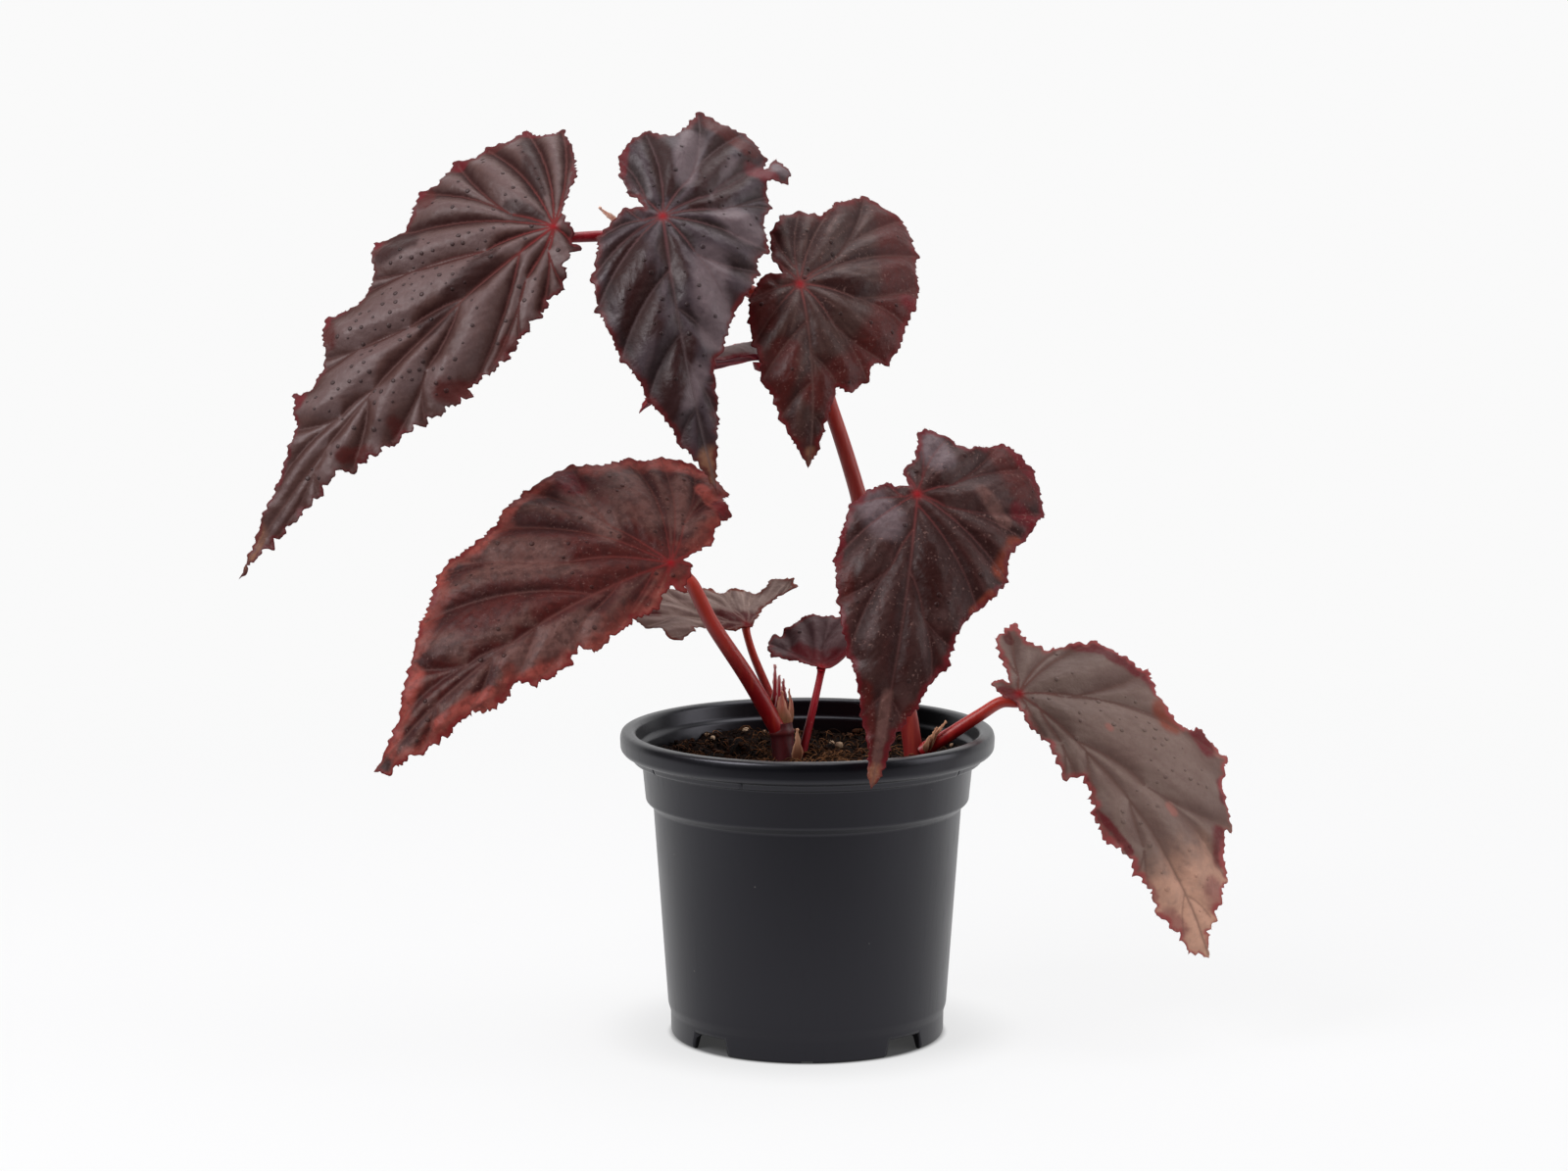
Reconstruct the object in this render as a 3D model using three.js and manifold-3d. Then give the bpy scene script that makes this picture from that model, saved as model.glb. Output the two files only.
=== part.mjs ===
// A begonia in a nursery pot: the pot, its potting mix, a tall arching cane and a short one,
// nine oblique leaves on their petioles, a young shoot and a few dry bracts.
// Millimetres, +Z up, the pot's base centre at the origin, the leaves facing -Y.
import * as THREE from 'three';
import { mergeVertices } from 'three/addons/utils/BufferGeometryUtils.js';
import Module from 'manifold-3d';

const wasm = await Module();
wasm.setup();

// Driving dimensions.
const gap = 0.3; // clearance between neighbouring pieces
const weld = 1e-4; // vertices closer than this are one
const bladeThickness = 0.8;
const toothPitch = 5.5; // spacing of the rows that cut the teeth of a large leaf
const stationPitch = 1.2; // spacing of the points on the midrib, in tooth pitches
const notchDepth = 1.1; // how far a notch lies inside its teeth
const notchShare = 0.25; // and at most this share of its row
const creaseDepth = 1.5; // height of the quilting between two veins
const creaseReach = 26; // a row at least this long is quilted in full
const creaseEase = 1.3; // how much the quilting fades towards the margin
const bladeColumns = [0.35, 0.7, 1]; // fractions of a row, from the midrib to the margin
const smallWidth = 30; // a leaf narrower than this has fewer rows and columns
const smallToothPitch = 3.8;
const smallBladeColumns = [0.5, 1];
const bractPitch = 3;
const petioleApproach = 5; // how far behind the blade a petiole straightens up
const petioleTaper = [1.15, 0.85]; // its radius at the foot and at the blade, over the listed one

const potWall = 1.2;
const potSegments = 40;
const rimHeight = 107.2;
const soilLevel = 96.5;
const soilEdge = 55.9; // the wall's radius where the soil ends
const soilRings = [1, 0.88, 0.74, 0.6, 0.45, 0.3, 0.15, 0]; // rings of its top, over that radius
const soilSegments = 28;
const crumbs = { count: 26, smallest: 1.2, spread: 1.8, reach: 0.88, stand: 0.15 };

const caneRadius = 3.1;
const stubRadius = 4;
const stalkSides = 9;
const petioleSides = 7;
const petioleSteps = 6; // besides one for each listed point

const colours = {
  pot: [0x17181c, 0.42],
  soil: [0x2b1d15, 0.95],
  cane: [0x8f3a2c, 0.45],
  stub: [0x5f1a1e, 0.45],
  petiole: [0xa03a30, 0.4],
  bract: [0xa98062, 0.8],
  shoot: [0xb5705f, 0.6],
};

// The pot's outer wall from the skirt to the lip, as radius and height.
const potOutside = [
  [46.8, 0], [47.6, 1], [47.7, 8], [48.6, 11], [53.5, 80.6], [56.1, 83], [57.4, 96.2], [60.5, 96.8],
  [61.3, 99.3], [63.7, 99.8], [65, 105], [63.5, rimHeight],
];
// Its inner wall from the lip down to the raised floor ring.
const potInside = [
  [60, rimHeight], [59, 106], [58.6, 101.4], [57.2, 100.4], [56.1, 95.2], [54.9, 84.2],
  [52.3, 81.6], [46.6, 6.6],
];
// Its underside from the axis: a flat middle, a raised ring with the drain holes, and the skirt.
const potUnderside = [[0, 0], [30, 0], [33, 4.6], [44.6, 4.6], [45.4, 0]];
const potFloor = [[34.2, 6.6], [30.8, potWall], [0, potWall]];
const drainArch = { angles: [45, 135, 225, 315], width: 14.5, slope: 1.6, height: 6.2, from: 39, to: 52 };
const drainHole = { angles: [0, 90, 180, 270], radius: 3.2, at: 39.2, drill: 10, sides: 12 };
const skirtMark = { width: 4, height: 1, from: 44, to: 52 };

// Stems: points on the middle line, from the soil up.
const canes = {
  cane_tall: {
    path: [[37.6, 1, 62], [36.8, 0, 98.8], [26.8, 2, 149.5], [18, 6, 186.5], [7, 12, 220.6],
      [-3.1, 18, 244.9], [-20.1, 20, 257.6], [-42.1, 18, 266.2], [-58.8, 14, 273.3]],
    radius: [caneRadius + 0.5, 2.1],
    nodes: [0.3, 0.48, 0.66, 0.8, 0.92],
    steps: 30,
    colour: 'cane',
  },
  cane_short: {
    path: [[-6.8, -7, 66], [-7.6, -6.4, 92], [-9.2, -5, 110.1]],
    radius: [stubRadius, stubRadius],
    nodes: [0.93],
    steps: 8,
    colour: 'stub',
  },
};
const nodeSwelling = { rise: 0.55, spread: 0.018 };

// Leaves. A margin is listed in the flattened blade as [along the midrib, across it] from the
// notch at the petiole to the tip, with the end of a vein and the dip after it by turns.
// Left and right are as seen on the upper face with the tip ahead.
const leaves = {
  upper_left: {
    at: [-86.8, 2, 280.8], tip: [-191.9, -34, 164.6], face: [-0.2, -0.85, 0.5],
    bow: 12, sweep: -3, fold: -6, curl: 0.16, width: 50, back: 0.1, rake: 1.9, notch: [-6, -3],
    left: [[-5, 0], [-4, 5], [-1, 11], [6, 14], [12, 19], [18, 20], [25, 22], [31, 23], [37, 24],
      [43, 26], [53, 25], [59, 24], [64, 26], [73, 24], [81, 21], [86, 20], [94, 17], [98, 17],
      [109, 12], [114, 9], [123, 8], [132, 7], [146, 4]],
    right: [[-21, -13], [-28, -22], [-34, -36], [-27, -38], [-25, -45], [-17, -46], [-10, -49],
      [-3, -49], [1, -53], [12, -49], [18, -51], [34, -41], [42, -47], [47, -43], [53, -34],
      [64, -30], [74, -37], [80, -32], [85, -24], [96, -20], [101, -24], [106, -20], [110, -14],
      [118, -11], [129, -7], [145, -3]],
    petiole: { path: [[-57.6, 15.2, 275.4], [-68, 13, 277]], radius: 1.9 },
    colour: 0x54403f,
  },
  top_middle: {
    at: [-49.1, -12, 285.4], tip: [-30.5, -36, 194.6], face: [0.12, -0.9, 0.35],
    bow: 9, sweep: -3, fold: -5, curl: 0.18, width: 42, back: 0.12, rake: 1.3, notch: [-4, -6],
    left: [[-11, -10], [-17, -13], [-26, -12], [-32, -9], [-36, -2], [-35, 8], [-47, 18], [-43, 26],
      [-40, 33], [-36, 37], [-30, 40], [-25, 39], [-23, 47], [-17, 38], [-8, 39], [-2, 36],
      [11, 36], [17, 31], [21, 31], [30, 26], [38, 19], [45, 16], [50, 13], [54, 10], [61, 8],
      [68, 8], [74, 6], [82, 4]],
    right: [[-4, -12], [0, -18], [4, -22], [11, -24], [18, -26], [24, -26], [29, -26], [37, -24],
      [47, -21], [53, -18], [62, -15], [70, -11], [78, -8], [86, -4]],
    petiole: { path: [[-42.1, 18, 266.2], [-45, 8, 272]], radius: 1.8 },
    colour: 0x3a2c30,
  },
  top_right: {
    at: [-2.7, -2, 261.6], tip: [0.3, -20, 200.6], face: [0.2, -0.9, 0.35],
    bow: 6, sweep: 1.5, fold: -5, curl: 0.2, width: 42, back: 0.15, rake: 1.2, notch: [-5, -5],
    left: [[-11, -7], [-17, -7], [-23, -5], [-30, 0], [-32, 7], [-30, 14], [-35, 21], [-38, 27],
      [-41, 34], [-36, 42], [-32, 46], [-27, 48], [-16, 48], [-10, 46], [-2, 45], [7, 42],
      [13, 37], [21, 34], [28, 28], [28, 23], [34, 20], [39, 13], [36, 9], [43, 7], [51, 4], [58, 3]],
    right: [[-6, -10], [-4, -14], [3, -18], [10, -20], [20, -19], [27, -18], [34, -17], [40, -14],
      [48, -11], [55, -7]],
    petiole: { path: [[-3.1, 18, 244.9], [-3.4, 12, 253]], radius: 1.7 },
    colour: 0x3f2527,
  },
  middle_left: {
    at: [-46.6, -24, 168.4], tip: [-144.5, -58, 102.9], face: [-0.1, -0.85, 0.5],
    bow: 11, sweep: -5, fold: -5, curl: 0.16, width: 55, back: 0.12, rake: 1.8, notch: [-5, 0],
    left: [[-7, 3], [-4, 7], [0, 11], [4, 8], [12, 14], [18, 14], [25, 15], [30, 16], [38, 18],
      [43, 14], [49, 17], [55, 18], [64, 16], [67, 12], [76, 14], [82, 14], [87, 10], [97, 11],
      [108, 8], [114, 6], [120, 4]],
    right: [[-18, -3], [-23, -8], [-31, -12], [-32, -19], [-36, -22], [-35, -31], [-31, -37],
      [-27, -41], [-22, -45], [-15, -46], [-12, -49], [-1, -50], [7, -55], [16, -54], [25, -52],
      [33, -49], [42, -44], [50, -42], [58, -42], [62, -41], [65, -39], [71, -34], [79, -28],
      [85, -23], [92, -17], [100, -11], [108, -5], [117, -2]],
    petiole: { path: [[-8, -5.4, 104], [-20, -10, 126], [-33, -15, 147], [-41, -16, 162]], radius: 2.7 },
    colour: 0x54302c,
  },
  middle_right: {
    at: [36.8, -38, 194], tip: [21, -73, 100.4], face: [0.1, -0.92, 0.35],
    bow: 8, sweep: 1, fold: -5, curl: 0.18, width: 45, back: 0.12, rake: 1.3, notch: [-3, -3],
    left: [[-9, -5], [-15, -2], [-25, -1], [-27, 3], [-25, 9], [-22, 16], [-29, 28], [-28, 33],
      [-22, 40], [-16, 43], [-6, 45], [1, 42], [6, 39], [15, 34], [23, 34], [31, 30], [36, 25],
      [42, 21], [51, 18], [58, 18], [63, 13], [73, 10], [79, 6], [86, 4], [93, 3], [98, 2]],
    right: [[-3, -10], [-1, -16], [6, -22], [15, -24], [26, -25], [34, -24], [41, -22], [50, -20],
      [59, -16], [68, -12], [79, -8], [89, -4], [97, -2]],
    petiole: { path: [[26.8, 2, 149.5], [31, -12, 168], [34, -24, 184]], radius: 2.1 },
    colour: 0x341f20,
  },
  lower_right: {
    at: [72.8, -12, 121.5], tip: [137.4, -34, 33.9], face: [0.25, -0.85, 0.4],
    bow: 12, sweep: 5, fold: -4, curl: 0.15, width: 48, back: 0.1, rake: 1.9, notch: [-5, 1],
    left: [[-15, 8], [-21, 12], [-21, 23], [-12, 19], [-3, 23], [-1, 29], [4, 36], [12, 38],
      [22, 41], [30, 37], [43, 35], [46, 41], [59, 42], [65, 35], [78, 28], [78, 25], [91, 17],
      [96, 11], [100, 6], [103, 3]],
    right: [[-9, 0], [-10, -3], [-5, -4], [1, -4], [6, -5], [10, -8], [17, -7], [23, -10],
      [31, -12], [35, -8], [44, -10], [49, -14], [58, -15], [66, -13], [74, -12], [80, -11],
      [89, -12], [96, -10], [101, -7], [106, -7]],
    petiole: { path: [[39.5, -1, 99.6], [48, -3, 105], [60, -5.5, 113.4], [67, -6.5, 117.8]], radius: 2.2 },
    colour: 0x6d544c,
  },
  low_left: {
    at: [-21.2, 14, 141.7], tip: [-64.5, 4, 146.3], face: [-0.22, -0.42, 0.88],
    bow: 1, sweep: 0, fold: 2, curl: -0.02, width: 28, back: -0.62, rake: 1.4, notch: [-2, 1],
    left: [[4, 3], [8, 4], [13, 5], [18, 6], [21, 10], [26, 16], [30, 15], [33, 10], [37, 8], [41, 5]],
    right: [[-4, -4], [-8, -10], [-12, -14], [-19, -15], [-18, -21], [-15, -23], [-12, -25],
      [-8, -20], [-4, -19], [0, -20], [3, -20], [6, -17], [10, -20], [14, -19], [18, -18], [23, -16],
      [28, -16], [33, -14], [38, -10], [42, -5]],
    petiole: { path: [[-8.4, -1.5, 106], [-13, 5, 118], [-19.5, 11.5, 133]], radius: 1.5 },
    colour: 0x77605a,
  },
  low_middle: {
    at: [4.8, 6, 127.8], tip: [-13.7, 18, 134.5], face: [0.1, -0.6, 0.79],
    bow: 0, sweep: 0, fold: 4, curl: 0, width: 20, back: -2, rake: 1, notch: [-3, 0],
    left: [[2, 2], [8, 3], [13, 5], [16, 8], [20, 4]],
    right: [[-7, -1], [-10, -4], [-11, -10], [-9, -16], [-4, -20], [2, -23], [8, -24], [12, -23],
      [15, -21], [18, -20], [21, -17], [21, -13], [22, -9], [22, -6], [24, -4]],
    petiole: { path: [[-3, 0, 88], [-1.7, 1.5, 98], [2.3, 4.5, 115]], radius: 1.4 },
    colour: 0x4d3439,
  },
  behind: {
    at: [-17.2, 14, 233.7], tip: [-57.4, 5, 216], face: [0.05, 0.1, 0.99],
    bow: 4, sweep: -2, fold: 28, curl: 0.1, width: 24, back: 0, rake: 1.4, notch: [-3, 0],
    left: [[-4, 2], [0, 4], [6, 6], [12, 9], [20, 12], [28, 12], [36, 8], [42, 4]],
    right: [[-7, -5], [-6, -11], [0, -16], [7, -15], [14, -15], [22, -11], [30, -9], [38, -4]],
    petiole: { path: [[0.6, 16, 237.6], [-6, 16.4, 236], [-12, 16, 233]], radius: 1.6 },
    colour: 0x6b2a33,
  },
};

// Dry bracts and the papery stipule: lance-shaped blades.
const bracts = {
  stipule_apex: { at: [-60.4, 13, 276.6], tip: [-71.6, 9, 287.4], face: [0.3, -0.8, 0.5], width: 5.2 },
  bract_right: { at: [41.4, -2.6, 101.6], tip: [49, -6, 112.6], face: [-0.4, -0.8, 0.4], width: 4.4 },
  bract_left: { at: [-3.6, -10.2, 97.2], tip: [-3.4, -11.2, 109.4], face: [0.2, -0.9, 0.3], width: 4.2 },
};
const bractMargin = [[0.12, 0.5], [0.35, 1], [0.6, 0.8], [0.82, 0.45]];
const shoot = {
  path: [[-10, -4.2, 108], [-10.3, -3.6, 117], [-9.8, -2, 131]],
  radii: [2.4, 3.4, 2.9, 1.5, 0.5],
};

function material([colour, roughness]) {
  return new THREE.MeshStandardMaterial({ color: colour, roughness, metalness: 0 });
}

function solidOf(geometry) {
  const bare = new THREE.BufferGeometry();
  bare.setAttribute('position', geometry.getAttribute('position'));
  if (geometry.index) bare.setIndex(geometry.index);
  const merged = mergeVertices(bare, weld);
  const kept = [];
  for (let i = 0; i < merged.index.count; i += 3) {
    const [a, b, c] = [0, 1, 2].map((k) => merged.index.getX(i + k));
    if (a !== b && b !== c && c !== a) kept.push(a, b, c);
  }
  const vertProperties = new Float32Array(merged.getAttribute('position').array);
  return new wasm.Manifold(new wasm.Mesh({ numProp: 3, vertProperties, triVerts: new Uint32Array(kept) }));
}

function meshOf(name, solid, finish) {
  const { vertProperties, triVerts } = solid.getMesh();
  const geometry = new THREE.BufferGeometry();
  geometry.setAttribute('position', new THREE.BufferAttribute(new Float32Array(vertProperties), 3));
  geometry.setIndex(new THREE.BufferAttribute(new Uint32Array(triVerts), 1));
  geometry.computeVertexNormals();
  const mesh = new THREE.Mesh(geometry, material(finish));
  mesh.name = name;
  return mesh;
}

// A cut can leave loose scraps, so only the largest piece is kept.
function largestPiece(solid) {
  return solid.decompose().sort((a, b) => b.volume() - a.volume())[0];
}

function latheSolid(profile, segments) {
  const points = profile.map(([radius, height]) => new THREE.Vector2(radius, height));
  return solidOf(new THREE.LatheGeometry(points, segments).rotateX(Math.PI / 2));
}

// A round stalk with closed ends along a smooth path; radius is a function of 0 to 1 along it.
function stalkSolid(path, radius, steps, sides = stalkSides) {
  const curve = new THREE.CatmullRomCurve3(path.map((p) => new THREE.Vector3(...p)), false, 'centripetal');
  const frames = curve.computeFrenetFrames(steps);
  const geometry = new THREE.CylinderGeometry(1, 1, 1, sides, steps);
  const position = geometry.getAttribute('position');
  for (let i = 0; i < position.count; i += 1) {
    const step = Math.round((position.getY(i) + 0.5) * steps);
    const r = radius(step / steps);
    const point = curve.getPointAt(step / steps);
    point.addScaledVector(frames.binormals[step], position.getX(i) * r);
    point.addScaledVector(frames.normals[step], position.getZ(i) * r);
    position.setXYZ(i, point.x, point.y, point.z);
  }
  return solidOf(geometry);
}

// Places a point of the flattened blade in space, lifted by a height along the blade's normal.
function bladePlacer(leaf) {
  const at = new THREE.Vector3(...leaf.at);
  const tip = new THREE.Vector3(...leaf.tip);
  const chord = tip.clone().sub(at);
  const length = chord.length();
  chord.normalize();
  const face = new THREE.Vector3(...leaf.face);
  face.addScaledVector(chord, -face.dot(chord)).normalize();
  const across = face.clone().cross(chord);
  const middle = at.clone().add(tip).multiplyScalar(0.5);
  middle.addScaledVector(face, 2 * leaf.bow).addScaledVector(across, 2 * leaf.sweep);
  const midrib = new THREE.QuadraticBezierCurve3(at, middle, tip);
  const fold = THREE.MathUtils.degToRad(leaf.fold);
  const place = (x, y, lift) => {
    const t = Math.max(0, x / length);
    const ahead = midrib.getTangent(t);
    const up = face.clone().addScaledVector(ahead, -face.dot(ahead)).normalize();
    const side = up.clone().cross(ahead);
    const droop = (leaf.curl * y * y + (x < 0 ? leaf.back * x * x : 0)) / leaf.width;
    const point = midrib.getPoint(t);
    if (x < 0) point.addScaledVector(ahead, x);
    point.addScaledVector(side, y * Math.cos(fold));
    return point.addScaledVector(up, Math.abs(y) * Math.sin(fold) - droop + lift);
  };
  return { place, length, up: face };
}

// Rows from the midrib to the margin on one side, with a notch at every other row.
function bladeRows(leaf, margin, length, stations, pitch) {
  const corners = [leaf.notch, ...margin, [length, 0]];
  const rows = [];
  let station = 0;
  corners.slice(0, -1).forEach(([x0, y0], i) => {
    const [x1, y1] = corners[i + 1];
    const count = Math.max(1, Math.round(Math.hypot(x1 - x0, y1 - y0) / pitch));
    for (let j = 0; j < count; j += 1) {
      const x = x0 + ((x1 - x0) * j) / count;
      const y = y0 + ((y1 - y0) * j) / count;
      const anchor = Math.max(0, x - leaf.rake * Math.abs(y));
      station = Math.min(stations - 1, Math.max(station, Math.round((anchor / length) * stations)));
      const start = (station / stations) * length;
      const reach = Math.hypot(x - start, y);
      const inset = j % 2 === 1 ? 1 - Math.min(notchDepth / reach, notchShare) : 1;
      const crease = Math.cos(Math.PI * (i + j / count)) * creaseDepth * Math.min(1, reach / creaseReach);
      rows.push({ station, start, x: start + (x - start) * inset, y: y * inset, crease });
    }
  });
  rows.push({ station: stations, start: length, x: length, y: 0, crease: 0 });
  return rows;
}

// A blade with its teeth and quilting, the same triangles on both faces.
function bladeSolid(leaf, thickness, pitch = toothPitch, columns = bladeColumns) {
  const { place, length } = bladePlacer(leaf);
  const stations = Math.max(4, Math.round(length / (pitch * stationPitch)));
  const corners = [];
  const triangle = (a, b, c, flip) => {
    const [p, q, r] = flip ? [a, c, b] : [a, b, c];
    corners.push(...[p, q, r].map(([x, y, h]) => place(x, y, h + thickness / 2)));
    corners.push(...[p, r, q].map(([x, y, h]) => place(x, y, h - thickness / 2)));
  };
  [leaf.left, leaf.right].forEach((margin, flip) => {
    const rows = bladeRows(leaf, margin, length, stations, pitch);
    const rib = (s) => [(s / stations) * length, 0, 0];
    const rise = (crease, f) => crease * f * (2 - creaseEase * f);
    const spot = ({ start, x, y, crease }, f) => [start + (x - start) * f, y * f, rise(crease, f)];
    rows.slice(0, -1).forEach((row, i) => {
      const next = rows[i + 1];
      for (let s = row.station; s < next.station; s += 1) {
        triangle(rib(s), rib(s + 1), spot(row, columns[0]), flip);
      }
      triangle(rib(next.station), spot(next, columns[0]), spot(row, columns[0]), flip);
      columns.slice(1).forEach((outer, c) => {
        triangle(spot(row, columns[c]), spot(next, columns[c]), spot(next, outer), flip);
        triangle(spot(row, columns[c]), spot(next, outer), spot(row, outer), flip);
      });
      const [edge, nextEdge] = flip ? [spot(next, 1), spot(row, 1)] : [spot(row, 1), spot(next, 1)];
      const [low, high] = [-thickness / 2, thickness / 2];
      const near = [[edge, low], [edge, high], [nextEdge, high]];
      const far = [[edge, low], [nextEdge, high], [nextEdge, low]];
      corners.push(...[...near, ...far].map(([[x, y, h], level]) => place(x, y, h + level)));
    });
  });
  return solidOf(new THREE.BufferGeometry().setFromPoints(corners));
}

function petioleSolid(leaf, extra = 0) {
  const { up } = bladePlacer(leaf);
  const at = new THREE.Vector3(...leaf.at);
  const behind = at.clone().addScaledVector(up, -petioleApproach);
  const path = [...leaf.petiole.path, behind.toArray(), at.toArray()];
  const radius = (t) => leaf.petiole.radius * THREE.MathUtils.lerp(...petioleTaper, t) + extra;
  return stalkSolid(path, radius, petioleSteps + path.length, petioleSides);
}

function caneSolid({ path, radius: [bottom, top], nodes, steps }, extra = 0) {
  const { rise, spread } = nodeSwelling;
  const swelling = (t) => nodes.reduce((sum, n) => sum + rise * Math.exp(-(((t - n) / spread) ** 2)), 0);
  return stalkSolid(path, (t) => bottom + (top - bottom) * t + swelling(t) + extra, steps);
}

function lanceLeaf({ at, tip, face, width }) {
  const length = new THREE.Vector3(...tip).distanceTo(new THREE.Vector3(...at));
  const side = (sign) => bractMargin.map(([along, out]) => [along * length, (sign * out * width) / 2]);
  return {
    at, tip, face, bow: 1, sweep: 0, fold: 12, curl: 0, width, back: 0, rake: 0.5,
    notch: [-0.6, 0], left: side(1), right: side(-1),
  };
}

// A bract, or with extra the slot that it stands in.
function bractSolid(bract, extra = 0) {
  const ahead = new THREE.Vector3(...bract.tip).sub(new THREE.Vector3(...bract.at)).normalize();
  const at = new THREE.Vector3(...bract.at).addScaledVector(ahead, -extra).toArray();
  const leaf = lanceLeaf({ ...bract, at, width: bract.width + 2 * extra });
  return bladeSolid(leaf, bladeThickness + 2 * extra, bractPitch, [1]);
}

function potSolid() {
  let pot = latheSolid([...potUnderside, ...potOutside, ...potInside, ...potFloor], potSegments);
  const cut = (points, depth, from, angle) => {
    const outline = new THREE.Shape(points.map(([x, y]) => new THREE.Vector2(x, y)));
    const block = new THREE.ExtrudeGeometry(outline, { depth, bevelEnabled: false });
    block.rotateX(Math.PI / 2).translate(0, -from, 0).rotateZ(THREE.MathUtils.degToRad(angle));
    pot = pot.subtract(solidOf(block));
  };
  const { width, slope, height, from, to } = drainArch;
  const foot = width / 2 + slope;
  drainArch.angles.forEach((angle) => {
    cut([[-foot, -1], [foot, -1], [foot - slope, height], [slope - foot, height]], to - from, from, angle);
  });
  const half = skirtMark.width / 2;
  const mark = [[-half, -1], [half, -1], [half, skirtMark.height], [-half, skirtMark.height]];
  cut(mark, skirtMark.to - skirtMark.from, skirtMark.from, 0);
  const { radius, at, drill, sides } = drainHole;
  drainHole.angles.forEach((angle) => {
    const hole = new THREE.CylinderGeometry(radius, radius, drill, sides).rotateX(Math.PI / 2);
    hole.translate(at, 0, drill / 2).rotateZ(THREE.MathUtils.degToRad(angle));
    pot = pot.subtract(solidOf(hole));
  });
  return pot;
}

// Potting mix: a body that follows the pot's inner wall, an uneven top and crumbs fused into it.
function soilTop(x, y) {
  const rolls = 1.1 * Math.sin(x * 0.11 + 1.3) * Math.cos(y * 0.09 - 0.6);
  const lumps = 0.7 * Math.sin(x * 0.41 + y * 0.23) + 0.5 * Math.sin(y * 0.57 - x * 0.31 + 2);
  return soilLevel + rolls + lumps;
}

function soilSolid() {
  const wall = potInside.filter(([, height]) => height < soilLevel - 3).reverse();
  const side = wall.map(([radius, height], i) => [radius - gap, height + (i === 0 ? gap : 0)]);
  const edge = soilEdge - gap;
  const rings = soilRings.map((f) => [f * edge, soilLevel]);
  const base = potWall + gap;
  const floor = [[0, base], [potFloor[1][0] - 2 * gap, base], [potFloor[0][0], wall[0][1] + gap]];
  const points = [...floor, ...side, ...rings].map(([r, z]) => new THREE.Vector2(r, z));
  const geometry = new THREE.LatheGeometry(points, soilSegments).rotateX(Math.PI / 2);
  const position = geometry.getAttribute('position');
  for (let i = 0; i < position.count; i += 1) {
    if (position.getZ(i) > soilLevel - 1) position.setZ(i, soilTop(position.getX(i), position.getY(i)));
  }
  let soil = solidOf(geometry);
  let seed = 7;
  const random = () => {
    seed = (seed * 16807) % 2147483647;
    return seed / 2147483647;
  };
  for (let i = 0; i < crumbs.count; i += 1) {
    const reach = edge * crumbs.reach * Math.sqrt(random());
    const turn = random() * 2 * Math.PI;
    const size = crumbs.smallest + crumbs.spread * random();
    const crumb = new THREE.IcosahedronGeometry(size, 0).rotateX(random() * 3).rotateZ(random() * 3);
    const [x, y] = [reach * Math.cos(turn), reach * Math.sin(turn)];
    crumb.translate(x, y, soilTop(x, y) + size * crumbs.stand);
    soil = soil.add(solidOf(crumb));
  }
  return soil;
}

function shootSolid() {
  const { path, radii } = shoot;
  const radius = (t) => {
    const span = t * (radii.length - 1);
    const i = Math.min(radii.length - 2, Math.floor(span));
    return THREE.MathUtils.lerp(radii[i], radii[i + 1], span - i);
  };
  return stalkSolid(path, radius, 8, 8);
}

function build() {
  const group = new THREE.Group();
  const add = (name, solid, finish) => group.add(meshOf(name, solid, finish));
  const sleeves = []; // stalks and bracts grown by the gap, which later pieces are cut back from
  const clearOf = (solid) => largestPiece(sleeves.reduce((rest, sleeve) => rest.subtract(sleeve), solid));

  add('pot', potSolid(), colours.pot);
  Object.entries(canes).forEach(([name, cane]) => {
    add(name, caneSolid(cane), colours[cane.colour]);
    sleeves.push(caneSolid(cane, gap));
  });
  Object.entries(leaves).forEach(([name, leaf]) => {
    const small = leaf.width < smallWidth;
    const pitch = small ? smallToothPitch : toothPitch;
    const columns = small ? smallBladeColumns : bladeColumns;
    add(`blade_${name}`, bladeSolid(leaf, bladeThickness, pitch, columns), [leaf.colour, 0.5]);
    const thickened = bladeSolid(leaf, bladeThickness + 2 * gap, pitch, columns);
    add(`petiole_${name}`, clearOf(petioleSolid(leaf).subtract(thickened)), colours.petiole);
    sleeves.push(petioleSolid(leaf, gap));
  });
  add('young_shoot', clearOf(shootSolid()), colours.shoot);
  Object.entries(bracts).forEach(([name, bract]) => {
    add(name, clearOf(bractSolid(bract)), colours.bract);
    sleeves.push(bractSolid(bract, gap));
  });
  add('soil', clearOf(soilSolid()), colours.soil);
  return group;
}

export default build();
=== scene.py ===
import math

import bmesh
import bpy
import numpy as np
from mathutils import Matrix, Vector, geometry, kdtree, noise


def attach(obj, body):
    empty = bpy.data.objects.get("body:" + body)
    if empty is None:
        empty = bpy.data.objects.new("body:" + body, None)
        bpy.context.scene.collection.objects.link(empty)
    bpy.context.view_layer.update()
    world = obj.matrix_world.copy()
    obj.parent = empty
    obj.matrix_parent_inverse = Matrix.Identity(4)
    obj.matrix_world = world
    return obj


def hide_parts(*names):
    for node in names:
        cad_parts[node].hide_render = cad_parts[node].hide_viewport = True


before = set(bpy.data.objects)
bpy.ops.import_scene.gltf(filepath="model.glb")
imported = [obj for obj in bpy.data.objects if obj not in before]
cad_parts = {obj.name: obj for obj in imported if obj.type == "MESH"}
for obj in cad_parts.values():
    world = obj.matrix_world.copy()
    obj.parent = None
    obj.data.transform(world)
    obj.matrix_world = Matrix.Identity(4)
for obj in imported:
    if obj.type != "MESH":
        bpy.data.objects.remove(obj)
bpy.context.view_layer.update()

mm = 0.001  # shapes are listed in millimetres, pieces are made in metres
print("frame loaded:", len(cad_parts), "nodes")


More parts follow.
